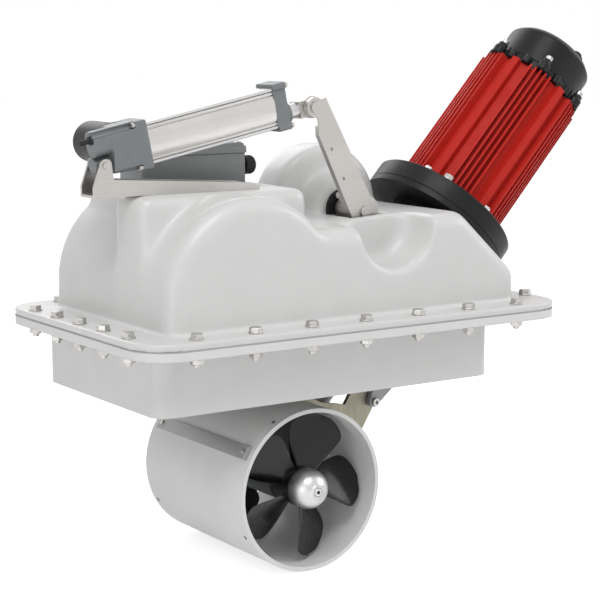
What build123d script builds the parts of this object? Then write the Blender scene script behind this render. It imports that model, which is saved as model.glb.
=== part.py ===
from build123d import *
import math
import os

# Retractable bow thruster, shown deployed. X runs along the hull, Y across it to the far side, Z up.
# The origin is the middle of the seam between the housing flange and the hull frame. Millimetres, degrees.

# Hull seat: housing flange above the seam, hull frame flange and skirt below it
flange_length = 590.5
flange_width = 364.4
flange_corner = 48
housing_flange_thickness = 8.3
frame_flange_thickness = 9.8
gasket_thickness = 1.2
skirt_left = -259.3
skirt_right = 210.9
skirt_width = 272.8
skirt_bottom = -82.1
skirt_wall = 6
skirt_corner = 20

# Fasteners of the seam
bolt_diameter = 8
bolt_hole = 8.8
head_across_flats = 13
head_height = 5.3
nut_height = 6.5
washer_diameter = 16.5
washer_thickness = 1.6
bolt_end = 3.5
front_row_inset = 17.7
front_row_span = 452
front_row_count = 7
side_row_inset = 12.7
side_row_span = 230
side_row_count = 5

# Tunnel in its deployed place, and where its centre ends when it is drawn in
tunnel_x = -40.06
tunnel_z = -197.37
stowed_x = -131
stowed_z = 40
tunnel_bore = 185
tunnel_wall = 5
tunnel_length = 224.6
saddle_thickness = 6
saddle_from = 4
saddle_to = 76
strap_angle = 147.5
strap_width = 16
strap_thickness = 3
strap_front = -105
strap_rear = 100

# Housing shell
housing_wall = 6
body_width = 284
body_left = -246
body_right = 247
roof_left_z = 112.5
crest_x = 163
crest_z = 122.5
bulge_radius = 115
edge_round = 18
valley_round = 24
block_right = -22
block_front = -82
block_back = -12
block_top = 155.5
block_round = 12
platform_left = -205
platform_back = 132
platform_top = 156

# Lever, turning on the lever shaft
lever_x = 71.9
lever_z = 120.8
lever_length = 146.1
lever_angle = 119.7
lever_front = -62
lever_thickness = 8
lever_root_radius = 20
lever_tip_radius = 12
lever_hole_radius = 2.2
lever_hub_diameter = 32
lever_hub_back = -21
lever_shaft_diameter = 22
bush_wall = 3
cap_diameter = 14
cap_height = 3
dome_radius = 77.5
dome_front = 17
dome_back = 75
boss_radius = 45
boss_front = -14
recess_radius = 26
seal_radius = 24.5
seal_thickness = 3.5
seal_bolt_circle = 19.5
seal_bolt_diameter = 4
seal_bolt_angles = (30, 120, 210, 300)
recess_front = -70
pocket_x = 65
pocket_z = 113
pocket_radius = 53
pocket_back = -84

# Link work inside the housing
hinge_offset = 18
crank_length = 52
crank_angle = 230.1
crank_front = 48
crank_thickness = 10
link_gap = 2
link_thickness = 8
link_pin_diameter = 12
link_eye_radius = 12
arm_inner = 40
arm_thickness = 6
arm_bush_wall = 4
door_bracket_thickness = 8
door_screw_diameter = 6
door_thread_diameter = 6.6
bracket_gap = 4
bracket_thickness = 6
hinge_pin_diameter = 16
arm_boss_radius = 24
bracket_boss_radius = 16
running_clearance = 0.05
seat_gap = 0.3

# Drive line: distances are measured from the tunnel centre along the motor axis
drive_angle = 47.42
leg_tube_radius = 22
strut_chord = 68
strut_width = 32
leg_tube_end = 222
leg_shaft_diameter = 16
dog_radius = 16
dog_plane = 249.3
dog_overlap = 7
dog_face_gap = 3
dog_hub_length = 16
dog_finger_angle = 50
seat_distance = 372.6
neck_radius = 58
neck_thickness = 13
ring_radius = 98.5
lower_ring_thickness = 7.7
upper_ring_thickness = 24.1
bearing_tube_radius = 22
bearing_tube_front = 279
drive_bearing_radius = 13
tube_flange_radius = 40
tube_flange_thickness = 6
shaft_way_radius = 13
ring_bolt_circle = 87
ring_bolt_angles = (-64, -4, 56, 116, 176, 236)
seat_bolt_angles = (-45, 75, 195)

# Electric motor
motor_length = 204
motor_radius = 72
motor_turn = -3
motor_core_radius = 62
rib_width = 10
fin_width = 2.6
fin_pitch = 7.4
fin_count = 5
screw_circle = 68
ear_radius = 8.5
end_boss_radius = 6.5
end_boss_height = 6
end_lobe_circle = 65
end_lobe_radius = 5
end_lobe_angle = 10
end_ring_thickness = 12
end_cap_radius = 60
end_cap_height = 50
end_cap_round = 8
motor_shaft_diameter = 18
motor_foot_thickness = 10
stator_radius = 55
rotor_radius = 38
end_screw_diameter = 6
stud_circle = 36
stud_angles = (250, 12)
stud_diameter = 8
stud_length = 12

# Propellers
hub_radius = 24
propeller_station = 85
blade_count = 5
blade_tip_gap = 4.5
first_blade_angle = 72
nose_tip = 127.3
propeller_shaft_diameter = 14
torpedo_radius = 24
torpedo_half_length = 58
gear_radius = 18
pinion_radius = 9
gear_gap = 0.4
gear_room_radius = 19
gear_room_half = 44
shaft_bearing_radius = 14
leg_bearing_radius = 12
hub_start = 62
nose_start = 100
nose_screw_radius = 5
blade_root_thickness = 7
blade_tip_thickness = 2.2
# Blade sections from root to tip: share of the span, chord, sweep angle, pitch angle
blade_stations = ((0, 25, 0, 34), (0.3, 44, 0, 30), (0.6, 60, -2, 26), (0.83, 65, -4, 24), (1, 42, -6, 22))

# Actuator
actuator_y = -44
pivot_x = -277
pivot_z = 191
actuator_angle = 11.59
eye_distance = 282.3
tube_below = 13
tube_above = 35
tube_width = 34
tube_corner = 2.5
cap_lip = 4
lug_radius = 9.5
rear_cap_start = 8
rear_cap_lean = 9
rear_cap_rise = 5
rear_screw_seat = 44
screw_notch_radius = 4.4
tube_start = 58
front_cap_start = 228
front_cap_end = 246
rod_diameter = 18
rod_pin_diameter = 12
slot_depth = 5
slot_reach = 22
slot_sway = 2.7
actuator_motor_diameter = 46.8
actuator_motor_along = 33.8
actuator_motor_up = 14.4
actuator_motor_length = 58
gear_flange = 5
gearbox_across = -6
gearbox_up = 25
gland_across = -10
gland_up = 30
rear_pin_diameter = 8
nut_radius = 11
nut_start = 60
nut_length = 10
eye_radius = 13
eye_neck = 17

# Actuator bracket and control box
channel_front = -60
channel_back = -28
channel_left = -292.6
channel_right = -78
channel_sheet = 3
clevis_ear_radius = 7.2
box_left = -205
box_right = -62
box_front = -10
box_back = 50
box_height = 50
box_lid_height = 12
gland_radius = 11.5
gland_length = 15

# Worked out from the sizes above
half_length = flange_length / 2
half_width = flange_width / 2
frame_top = -gasket_thickness
frame_under = frame_top - frame_flange_thickness
body_half = body_width / 2
drive_x = math.cos(math.radians(drive_angle))
drive_z = math.sin(math.radians(drive_angle))
tunnel_radius = tunnel_bore / 2 + tunnel_wall
saddle_radius = tunnel_radius + saddle_thickness


def solve_hinge():
    # The leg hinge is as far from both tunnel places, and hinge_offset beside the motor axis
    middle_x = (tunnel_x + stowed_x) / 2
    middle_z = (tunnel_z + stowed_z) / 2
    travel_x = stowed_x - tunnel_x
    travel_z = stowed_z - tunnel_z
    beside_start = drive_x * (middle_z - tunnel_z) - drive_z * (middle_x - tunnel_x)
    beside_step = drive_x * -travel_x - drive_z * travel_z
    reach = (hinge_offset - beside_start) / beside_step
    x = middle_x + reach * travel_z
    z = middle_z - reach * travel_x
    radius = math.hypot(tunnel_x - x, tunnel_z - z)
    swing = 2 * math.degrees(math.asin(math.hypot(travel_x, travel_z) / 2 / radius))
    return x, z, swing


hinge_x, hinge_z, leg_swing = solve_hinge()
crank_x = lever_x + crank_length * math.cos(math.radians(crank_angle))
crank_z = lever_z + crank_length * math.sin(math.radians(crank_angle))
knee_x = crank_x + hinge_x - lever_x
knee_z = crank_z + hinge_z - lever_z
link_front = crank_front + crank_thickness + link_gap
link_back = link_front + link_thickness
lever_back = lever_front + lever_thickness
eye_x = pivot_x + eye_distance * math.cos(math.radians(actuator_angle))
eye_z = pivot_z + eye_distance * math.sin(math.radians(actuator_angle))
lever_top_x = lever_x + lever_length * math.cos(math.radians(lever_angle))
lever_top_z = lever_z + lever_length * math.sin(math.radians(lever_angle))
ring_start = seat_distance + neck_thickness
upper_ring_start = ring_start + lower_ring_thickness
motor_start = upper_ring_start + upper_ring_thickness
motor_end = motor_start + motor_length
end_ring_end = motor_end + end_ring_thickness
driven_hub_end = dog_plane - dog_overlap / 2 - dog_face_gap
driven_hub_start = driven_hub_end - dog_hub_length
drive_hub_start = dog_plane + dog_overlap / 2 + dog_face_gap


# Helpers
def side_slab(profile, front, back):
    # A side-view profile in X and Z, as a plate from one Y to another
    far_side = Plane(origin=(0, back, 0), x_dir=(1, 0, 0), z_dir=(0, -1, 0))
    return extrude(far_side * profile, amount=back - front)


def cross_rod(x, z, radius, front, back):
    return side_slab(Pos(x, z) * Circle(radius), front, back)


def outline(*points):
    return make_face(Polyline(*points, close=True))


def block(x_from, x_to, y_from, y_to, z_from, z_to):
    return Pos(x_from, y_from, z_from) * Box(x_to - x_from, y_to - y_from, z_to - z_from, align=Align.MIN)


def drive_plane(distance):
    origin = (tunnel_x + distance * drive_x, 0, tunnel_z + distance * drive_z)
    return Plane(origin=origin, x_dir=(0, -1, 0), z_dir=(drive_x, 0, drive_z))


def drive_slab(profile, start, end):
    return extrude(drive_plane(start) * profile, amount=end - start)


def drive_ring(outer, inner, start, end):
    return drive_slab(Circle(outer) - Circle(inner), start, end)


def actuator_plane(distance):
    # Square to the rod, local X toward the front (-Y), local Y up across the rod
    angle = math.radians(actuator_angle)
    along = (math.cos(angle), 0, math.sin(angle))
    origin = (pivot_x + distance * along[0], actuator_y, pivot_z + distance * along[2])
    return Plane(origin=origin, x_dir=(0, 1, 0), z_dir=along)


def actuator_slab(profile, start, end):
    return extrude(actuator_plane(start) * profile, amount=end - start)


def far_edges(shape, front, back):
    # Edges that lie wholly in one of the two end faces of a side slab
    ends = ShapeList()
    for edge in shape.edges():
        box = edge.bounding_box()
        flat = box.max.Y - box.min.Y < 0.01
        at_end = min(abs(box.min.Y - front), abs(box.min.Y - back)) < 0.01
        if flat and at_end and box.max.Z > 1:
            ends.append(edge)
    return ends


def hex_profile(across_flats):
    return RegularPolygon(across_flats / math.sqrt(3), 6)


# Seam fasteners
def seam_points():
    points = []
    for side in (-1, 1):
        for index in range(front_row_count):
            x = front_row_span * (index / (front_row_count - 1) - 0.5)
            points.append((x, side * (half_width - front_row_inset)))
        for index in range(side_row_count):
            y = side_row_span * (index / (side_row_count - 1) - 0.5)
            points.append((side * (half_length - side_row_inset), y))
    return points


def flange_plate(bottom, top, opening):
    face = RectangleRounded(flange_length, flange_width, flange_corner) - opening
    for x, y in seam_points():
        face -= Pos(x, y) * Circle(bolt_hole / 2)
    return extrude(Pos(0, 0, bottom) * face, amount=top - bottom)


def frame_opening(wall):
    width = skirt_width - 2 * wall
    length = skirt_right - skirt_left - 2 * wall
    middle = (skirt_left + skirt_right) / 2
    return Pos(middle, 0) * RectangleRounded(length, width, skirt_corner - wall)


def housing_opening():
    length = body_right - body_left - 2 * housing_wall
    middle = (body_left + body_right) / 2
    return Pos(middle, 0) * Rectangle(length, body_width - 2 * housing_wall)


def make_flange_bolts():
    shank_top = housing_flange_thickness + washer_thickness
    shank_bottom = frame_under - washer_thickness - nut_height - bolt_end
    shank = extrude(Pos(0, 0, shank_bottom) * Circle(bolt_diameter / 2), amount=shank_top - shank_bottom)
    head = extrude(Pos(0, 0, shank_top) * hex_profile(head_across_flats), amount=head_height)
    return Compound(children=[Pos(x, y) * (shank + head) for x, y in seam_points()])


def make_flange_washers():
    face = Circle(washer_diameter / 2) - Circle(bolt_hole / 2)
    top = extrude(Pos(0, 0, housing_flange_thickness) * face, amount=washer_thickness)
    under = extrude(Pos(0, 0, frame_under - washer_thickness) * face, amount=washer_thickness)
    washers = []
    for x, y in seam_points():
        washers.append(Pos(x, y) * top)
        washers.append(Pos(x, y) * under)
    return Compound(children=washers)


def make_flange_nuts():
    top = frame_under - washer_thickness
    face = hex_profile(head_across_flats) - Circle(bolt_diameter / 2)
    nut = extrude(Pos(0, 0, top - nut_height) * face, amount=nut_height)
    return Compound(children=[Pos(x, y) * nut for x, y in seam_points()])


def make_hull_frame():
    frame = flange_plate(frame_under, frame_top, frame_opening(skirt_wall))
    skirt = extrude(Pos(0, 0, skirt_bottom) * (frame_opening(0) - frame_opening(skirt_wall)),
                    amount=frame_under - skirt_bottom)
    return frame + skirt


def make_gasket():
    return flange_plate(-gasket_thickness, 0, housing_opening())


# Housing
def slope_z(x, distance):
    return tunnel_z + (distance - (x - tunnel_x) * drive_x) / drive_z


def slope_x(z, distance):
    return tunnel_x + (distance - (z - tunnel_z) * drive_z) / drive_x


def roof_z(x):
    return roof_left_z + (crest_z - roof_left_z) * x / crest_x


def side_view(inset):
    # Bulge over the drawn-in tunnel, roof rising to the crest, then the motor seat slope
    seat = seat_distance - inset
    left = body_left + inset
    right = body_right - inset
    radius = bulge_radius - inset
    roof_drop = inset
    crest_drop = crest_z - roof_drop
    crest_at = slope_x(crest_drop, seat)
    bulge = Pos(stowed_x, stowed_z) * Circle(radius) - Pos(stowed_x, -radius) * Rectangle(3 * radius, 2 * radius)
    bulge += outline((left, 0), (stowed_x + radius, 0), (stowed_x + radius, stowed_z), (left, stowed_z))
    start_x = stowed_x
    roof = outline((start_x, 0), (start_x, roof_z(start_x) - roof_drop), (crest_at, crest_drop),
                   (right, slope_z(right, seat)), (right, 0))
    both = bulge + roof
    valley = [v for v in both.vertices() if abs(v.Y - roof_z(v.X) + roof_drop) < 0.5 and v.X < 0]
    both = fillet(valley, valley_round + inset)
    crest = [v for v in both.vertices() if abs(v.X - crest_at) < 0.5 and v.Y > crest_drop - 1]
    return fillet(crest, block_round)


def front_block(inset):
    return block(body_left + inset, block_right - inset, block_front + inset, block_back - inset,
                 stowed_z, block_top - inset)


def rear_platform(inset):
    return block(platform_left + inset, block_right - inset, block_back - block_round,
                 platform_back - inset, stowed_z, platform_top - inset)


def rounded_block():
    body = front_block(0)
    body = fillet(body.edges().filter_by(Axis.Z), block_round + 2)
    return fillet(body.faces().sort_by(Axis.Z)[-1].edges(), block_round)


def rounded_platform():
    body = rear_platform(0)
    body = fillet(body.edges().filter_by(Axis.Z).group_by(Axis.Y)[-1], block_round + 6)
    return fillet(body.faces().sort_by(Axis.Z)[-1].edges().group_by(Axis.Y)[-1], block_round)


def lever_dome(inset):
    front = dome_front + inset
    back = dome_back - inset
    profile = Pos(lever_x, lever_z) * Circle(dome_radius - inset)
    dome = side_slab(profile, front, back)
    rims = [e for e in dome.edges() if e.geom_type == GeomType.CIRCLE]
    dome = fillet(rims, 10 - inset / 2)
    return dome - block(-500, 500, -500, 500, -500, stowed_z)


def lever_boss():
    cone = Cone(boss_radius, boss_radius - 8, dome_front - boss_front,
                align=(Align.CENTER, Align.CENTER, Align.MIN))
    boss = Plane(origin=(lever_x, dome_front, lever_z), x_dir=(1, 0, 0), z_dir=(0, -1, 0)) * cone
    rim = [e for e in boss.edges() if e.geom_type == GeomType.CIRCLE and e.center().Y < boss_front + 1]
    return fillet(rim, 8)


def lever_recess(outset):
    radius = recess_radius + outset
    slot = Pos(lever_x, lever_z) * Circle(radius)
    slot += outline((lever_x - radius, lever_z), (lever_x + radius, lever_z),
                    (lever_x + radius, lever_z + 60), (lever_x - radius, lever_z + 60))
    return side_slab(slot, recess_front - outset, boss_front + outset)


def front_pocket(outset):
    radius = pocket_radius + outset
    front = -body_half - 10
    back = pocket_back + outset
    scoop = side_slab(Pos(pocket_x, pocket_z) * Circle(radius), front, back)
    rim = [e for e in scoop.edges() if e.geom_type == GeomType.CIRCLE and e.center().Y > back - 1]
    return fillet(rim, 20 + outset / 2)


def make_housing():
    body = side_slab(side_view(0), -body_half, body_half)
    body = fillet(far_edges(body, -body_half, body_half), edge_round)
    body = body + rounded_block() + rounded_platform() + lever_dome(0) + lever_boss()
    room_half = body_half - housing_wall
    room = side_slab(side_view(housing_wall), -room_half, room_half)
    room = fillet(far_edges(room, -room_half, room_half), edge_round - housing_wall)
    room = room + front_block(housing_wall) + rear_platform(housing_wall) + lever_dome(housing_wall)
    room = room - lever_recess(housing_wall) - front_pocket(housing_wall)
    shell = body - lever_recess(0) - front_pocket(0) - room
    bore = lever_shaft_diameter / 2 + bush_wall
    carrier = cross_rod(lever_x, lever_z, bore + housing_wall, boss_front, dome_front + housing_wall + 4)
    far_boss = cross_rod(lever_x, lever_z, bore + housing_wall, dome_back - housing_wall - 1, dome_back)
    shell = shell + carrier + far_boss
    shell = shell - cross_rod(lever_x, lever_z, bore, boss_front - 50, dome_back - 2)
    shell = shell - drive_slab(Circle(bearing_tube_radius), seat_distance - 60, seat_distance + 10)
    return shell + flange_plate(0, housing_flange_thickness, housing_opening())


# Lever group
def lever_point(along, right):
    # A place on the lever, measured from its pivot toward the top pin and to the right of that line
    angle = math.radians(lever_angle)
    x = lever_x + along * math.cos(angle) + right * math.sin(angle)
    z = lever_z + along * math.sin(angle) - right * math.cos(angle)
    return x, z


def make_lever_plate():
    face = outline(lever_point(lever_length + 2.6, 18.2), lever_point(-4.3, 15.5), lever_point(-0.6, -20),
                   lever_point(lever_length - 31.7, -12.3), lever_point(lever_length - 15, -3.6),
                   lever_point(lever_length + 9, -4))
    face += Pos(lever_x, lever_z) * Circle(lever_root_radius)
    face += Pos(lever_top_x, lever_top_z) * Circle(lever_tip_radius)
    for along, right in ((91.3, -4.9), (51.3, -7.4)):
        x, z = lever_point(along, right)
        face -= Pos(x, z) * Circle(lever_hole_radius)
    plate = side_slab(face, lever_front, lever_back)
    # The pin leaves the top of the slot and comes back, swaying a little to each side
    pin_room = rod_pin_diameter / 2 + seat_gap
    rims = (Pos(lever_top_x, lever_top_z) * Circle(pin_room)).edges()
    for reach, sway in ((slot_reach * 0.43, slot_sway), (slot_reach * 0.7, slot_sway), (slot_reach, 0)):
        rims += (Pos(*lever_point(lever_length - reach, 0)) * Circle(pin_room + sway)).edges()
    slot = make_hull(rims)
    return plate - side_slab(slot, lever_back - slot_depth, lever_back)


def make_lever_hub():
    ring = Circle(lever_hub_diameter / 2) - Circle(lever_shaft_diameter / 2)
    return side_slab(Pos(lever_x, lever_z) * ring, lever_back, lever_hub_back)


def make_lever_shaft():
    return cross_rod(lever_x, lever_z, lever_shaft_diameter / 2, lever_back, dome_back - 2.5)


def make_lever_caps():
    top = cross_rod(lever_top_x, lever_top_z, cap_diameter / 2, lever_front - cap_height, lever_front)
    low = cross_rod(lever_x, lever_z, cap_diameter / 2, lever_front - cap_height, lever_front)
    return Compound(children=[top, low])


def make_crank():
    at_shaft = Pos(lever_x, lever_z) * Circle(lever_shaft_diameter / 2 + 7)
    at_pin = Pos(crank_x, crank_z) * Circle(link_eye_radius)
    face = make_hull(at_shaft.edges() + at_pin.edges())
    face -= Pos(lever_x, lever_z) * Circle(lever_shaft_diameter / 2)
    face -= Pos(crank_x, crank_z) * Circle(link_pin_diameter / 2)
    return side_slab(face, crank_front, crank_front + crank_thickness)


def make_crank_pin():
    return cross_rod(crank_x, crank_z, link_pin_diameter / 2, crank_front, link_back)


def make_lever_bushes():
    outer = lever_shaft_diameter / 2 + bush_wall
    ring = Circle(outer) - Circle(lever_shaft_diameter / 2 + running_clearance)
    placed = Pos(lever_x, lever_z) * ring
    near = side_slab(placed, boss_front, dome_front + housing_wall + 4)
    far = side_slab(placed, dome_back - housing_wall - 1, dome_back - 2)
    return Compound(children=[near, far])


def make_shaft_seal():
    ring = Circle(seal_radius) - Circle(lever_shaft_diameter / 2 + running_clearance)
    for angle in seal_bolt_angles:
        ring -= Rot(0, 0, angle) * Pos(seal_bolt_circle, 0) * Circle(seal_bolt_diameter / 2)
    return side_slab(Pos(lever_x, lever_z) * ring, boss_front - seal_thickness, boss_front)


def make_seal_bolts():
    bolts = []
    for angle in seal_bolt_angles:
        turn = math.radians(angle)
        x = lever_x + seal_bolt_circle * math.cos(turn)
        z = lever_z + seal_bolt_circle * math.sin(turn)
        shank = cross_rod(x, z, seal_bolt_diameter / 2, boss_front - seal_thickness, boss_front)
        head = cross_rod(x, z, seal_bolt_diameter, boss_front - seal_thickness - 3, boss_front - seal_thickness)
        bolts.append(shank + head)
    return Compound(children=bolts)


# Link and leg hinge
def make_link():
    at_crank = Pos(crank_x, crank_z) * Circle(link_eye_radius)
    at_knee = Pos(knee_x, knee_z) * Circle(link_eye_radius)
    bar = make_hull(at_crank.edges() + at_knee.edges())
    for x, z in ((crank_x, crank_z), (knee_x, knee_z)):
        bar -= Pos(x, z) * Circle(link_pin_diameter / 2 + running_clearance)
    return side_slab(bar, link_front, link_back)


def bracket_face():
    seat = seat_distance - housing_wall
    wall_x = body_right - housing_wall
    corner_z = slope_z(wall_x, seat)
    upper_x = wall_x - 42
    face = outline((hinge_x - 4, hinge_z + bracket_boss_radius - 1), (upper_x, slope_z(upper_x, seat)),
                   (wall_x, corner_z), (wall_x, housing_flange_thickness + 2),
                   (hinge_x + 6, hinge_z - bracket_boss_radius + 2))
    face += Pos(hinge_x, hinge_z) * Circle(bracket_boss_radius)
    return face - Pos(hinge_x, hinge_z) * Circle(hinge_pin_diameter / 2)


def make_hinge_bracket(side):
    near = arm_inner + arm_thickness + bracket_gap
    far = near + bracket_thickness
    if side < 0:
        return side_slab(bracket_face(), -far, -near)
    return side_slab(bracket_face(), near, far)


def make_hinge_pins():
    inner = arm_inner - 3
    outer = arm_inner + arm_thickness + bracket_gap + bracket_thickness
    radius = hinge_pin_diameter / 2
    pins = []
    for side in (-1, 1):
        ends = sorted((side * inner, side * outer))
        heads = sorted((side * outer, side * (outer + 4)))
        pin = cross_rod(hinge_x, hinge_z, radius, *ends)
        pins.append(pin + cross_rod(hinge_x, hinge_z, radius + 4, *heads))
    return Compound(children=pins)


def arm_face():
    start = math.radians(saddle_to - 1)
    end = math.radians(saddle_from + 1)
    face = outline((tunnel_x + tunnel_radius * math.cos(start), tunnel_z + tunnel_radius * math.sin(start)),
                   (tunnel_x + 68, tunnel_z + 85), (tunnel_x + 95, tunnel_z + 79.5),
                   (hinge_x - 45, hinge_z - 92), (hinge_x - arm_boss_radius + 1, hinge_z - 6),
                   (hinge_x + arm_boss_radius - 1, hinge_z - 6), (hinge_x + 17.7, hinge_z - 60.3),
                   (hinge_x - 14.4, hinge_z - 118.3),
                   (tunnel_x + tunnel_radius * math.cos(end), tunnel_z + tunnel_radius * math.sin(end)))
    face += Pos(hinge_x, hinge_z) * Circle(arm_boss_radius)
    face -= Pos(tunnel_x, tunnel_z) * Circle(saddle_radius)
    return face - Pos(hinge_x, hinge_z) * Circle(hinge_pin_diameter / 2 + arm_bush_wall)


def make_swing_arm(side):
    face = arm_face()
    for x, z in door_points():
        face -= Pos(x, z) * Circle(door_screw_diameter / 2)
    if side < 0:
        return side_slab(face, -arm_inner - arm_thickness, -arm_inner)
    face -= Pos(knee_x, knee_z) * Circle(link_pin_diameter / 2)
    return side_slab(face, arm_inner, arm_inner + arm_thickness)


def make_arm_bushes():
    ring = Circle(hinge_pin_diameter / 2 + arm_bush_wall) - Circle(hinge_pin_diameter / 2 + running_clearance)
    placed = Pos(hinge_x, hinge_z) * ring
    near = arm_inner - 2
    far = arm_inner + arm_thickness + bracket_gap / 2
    return Compound(children=[side_slab(placed, -far, -near), side_slab(placed, near, far)])


def make_knee_pin():
    return cross_rod(knee_x, knee_z, link_pin_diameter / 2, arm_inner, link_back)


def door_points():
    # Where the door brackets are screwed to the arms, on the edge that lies along the hull when drawn in
    x = hinge_x - 21.4
    z = hinge_z - 115.6
    return ((x, z), (x + 8, z + 27))


def make_door_bracket(side):
    (low_x, low_z), (high_x, high_z) = door_points()
    tip_x, tip_z = door_tip()
    circles = ((Pos(low_x, low_z) * Circle(7)).edges() + (Pos(high_x, high_z) * Circle(7)).edges()
               + (Pos(tip_x, tip_z) * Circle(8)).edges())
    face = make_hull(circles)
    for x, z in door_points():
        face -= Pos(x, z) * Circle(door_screw_diameter / 2)
    face -= Pos(tip_x, tip_z) * Circle(door_thread_diameter / 2)
    near = arm_inner + arm_thickness
    far = near + door_bracket_thickness
    if side < 0:
        return side_slab(face, -far, -near)
    return side_slab(face, near, far)


def door_tip():
    return hinge_x + 2, hinge_z - 95


def make_door_screws():
    screws = []
    for x, z in door_points():
        for side in (-1, 1):
            inner = arm_inner
            outer = arm_inner + arm_thickness + door_bracket_thickness
            shank = cross_rod(x, z, door_screw_diameter / 2, *sorted((side * inner, side * outer)))
            head_span = sorted((side * outer, side * (outer + 5)))
            head = cross_rod(x, z, door_screw_diameter * 0.8, *head_span)
            socket_span = sorted((side * (outer + 2), side * (outer + 5)))
            socket = side_slab(Pos(x, z) * hex_profile(door_screw_diameter * 0.75), *socket_span)
            screws.append(shank + head - socket)
    return Compound(children=screws)


# Tunnel and gear leg
def around_tunnel(radius, angle):
    turn = math.radians(angle)
    return tunnel_x + radius * math.cos(turn), tunnel_z + radius * math.sin(turn)


def tunnel_sector(inner, outer, start, end):
    reach = outer * 3
    middle = (start + end) / 2
    wedge = outline((tunnel_x, tunnel_z), around_tunnel(reach, start), around_tunnel(reach, middle),
                    around_tunnel(reach, end))
    return Pos(tunnel_x, tunnel_z) * (Circle(outer) - Circle(inner)) & wedge


def make_tunnel():
    ring = Pos(tunnel_x, tunnel_z) * (Circle(tunnel_radius) - Circle(tunnel_bore / 2))
    tube = side_slab(ring, -tunnel_length / 2, tunnel_length / 2)
    return tube - drive_slab(Circle(leg_tube_radius), 60, 160)


def make_saddle():
    reach = arm_inner + arm_thickness + 6
    plate = side_slab(tunnel_sector(tunnel_radius, saddle_radius, saddle_from, saddle_to), -reach, reach)
    return plate - drive_slab(Circle(leg_tube_radius), 60, 160)


def make_gear_leg():
    torpedo = cross_rod(tunnel_x, tunnel_z, torpedo_radius, -torpedo_half_length, torpedo_half_length)
    strut = drive_slab(Ellipse(strut_chord / 2, strut_width / 2), 12, tunnel_radius)
    strut = strut & cross_rod(tunnel_x, tunnel_z, tunnel_bore / 2, -strut_chord, strut_chord)
    tube = drive_slab(Circle(leg_tube_radius), tunnel_bore / 2 - 6, leg_tube_end)
    leg = torpedo + strut + tube
    leg -= cross_rod(tunnel_x, tunnel_z, gear_room_radius, -gear_room_half, gear_room_half)
    leg -= cross_rod(tunnel_x, tunnel_z, shaft_bearing_radius, -torpedo_half_length - 1, torpedo_half_length + 1)
    return leg - drive_slab(Circle(leg_bearing_radius), 5, leg_tube_end + 1)


def make_leg_bearings():
    ring = Circle(leg_bearing_radius) - Circle(leg_shaft_diameter / 2 + running_clearance)
    low = drive_slab(ring, 30, 44)
    high = drive_slab(ring, leg_tube_end - 14, leg_tube_end)
    return Compound(children=[low, high])


def make_shaft_bearings():
    ring = Circle(shaft_bearing_radius) - Circle(propeller_shaft_diameter / 2 + running_clearance)
    placed = Pos(tunnel_x, tunnel_z) * ring
    return Compound(children=[side_slab(placed, -torpedo_half_length, -gear_room_half),
                              side_slab(placed, gear_room_half, torpedo_half_length)])


def make_strap():
    half = math.degrees(strap_width / 2 / tunnel_radius)
    band = tunnel_sector(tunnel_radius, tunnel_radius + strap_thickness, strap_angle - half, strap_angle + half)
    return side_slab(band, strap_front, strap_rear)


def strap_place(y, lift):
    x, z = around_tunnel(tunnel_radius + lift, strap_angle)
    turn = math.radians(strap_angle)
    return Plane(origin=(x, y, z), x_dir=(0, 1, 0), z_dir=(math.cos(turn), 0, math.sin(turn)))


def make_strap_ends():
    clamp = extrude(strap_place(strap_front + 8, strap_thickness) * Rectangle(16, strap_width), amount=2.5)
    return clamp


def make_strap_screws():
    screws = []
    for y, lift in ((strap_front + 8, strap_thickness + 2.5), (strap_rear - 8, strap_thickness)):
        screws.append(extrude(strap_place(y, lift) * Circle(3.2), amount=2))
    return Compound(children=screws)


# Propellers and their shafts; side -1 is the near mouth, 1 the far mouth
def cross_span(side, near, far):
    return sorted((side * near, side * far))


def make_propeller_shaft(side):
    return cross_rod(tunnel_x, tunnel_z, propeller_shaft_diameter / 2, *cross_span(side, pinion_radius * 0.7, nose_start + 4))


def gear_cone(side, small, large):
    # Face width of a bevel gear: radius goes with distance from the crossing of the shafts
    slope = gear_radius / pinion_radius
    near = small / slope + gear_gap
    far = large / slope + gear_gap
    cone = Cone(small, large, far - near, align=(Align.CENTER, Align.CENTER, Align.MIN))
    return Plane(origin=(tunnel_x, side * near, tunnel_z), x_dir=(1, 0, 0), z_dir=(0, side, 0)) * cone


def make_bevel_gear(side):
    gear = gear_cone(side, gear_radius * 0.66, gear_radius)
    back = pinion_radius + gear_gap
    gear += cross_rod(tunnel_x, tunnel_z, gear_radius * 0.7, *cross_span(side, back, back + 8))
    return gear - cross_rod(tunnel_x, tunnel_z, propeller_shaft_diameter / 2, -torpedo_half_length, torpedo_half_length)


def make_pinion():
    slope = gear_radius / pinion_radius
    small = pinion_radius * 0.66
    cone = Cone(small, pinion_radius, (pinion_radius - small) * slope, align=(Align.CENTER, Align.CENTER, Align.MIN))
    return drive_plane(small * slope) * cone


def make_leg_shaft():
    shaft = drive_slab(Circle(leg_shaft_diameter / 2), gear_radius, driven_hub_start + 2)
    return shaft


def blade_section(side, radius, chord, thickness, skew, pitch):
    turn = math.radians(skew)
    out = (math.cos(turn), 0, math.sin(turn))
    around = (-math.sin(turn), 0, math.cos(turn))
    lean = -math.radians(pitch) * side
    chord_way = (around[0] * math.cos(lean), math.sin(lean), around[2] * math.cos(lean))
    origin = (tunnel_x + radius * out[0], side * propeller_station, tunnel_z + radius * out[2])
    nose = (-chord / 2, 0)
    tail = (chord / 2, 0)
    lens = make_face(ThreePointArc(nose, (0, thickness / 2), tail) + ThreePointArc(tail, (0, -thickness / 2), nose))
    return Plane(origin=origin, x_dir=chord_way, z_dir=out) * lens


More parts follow.
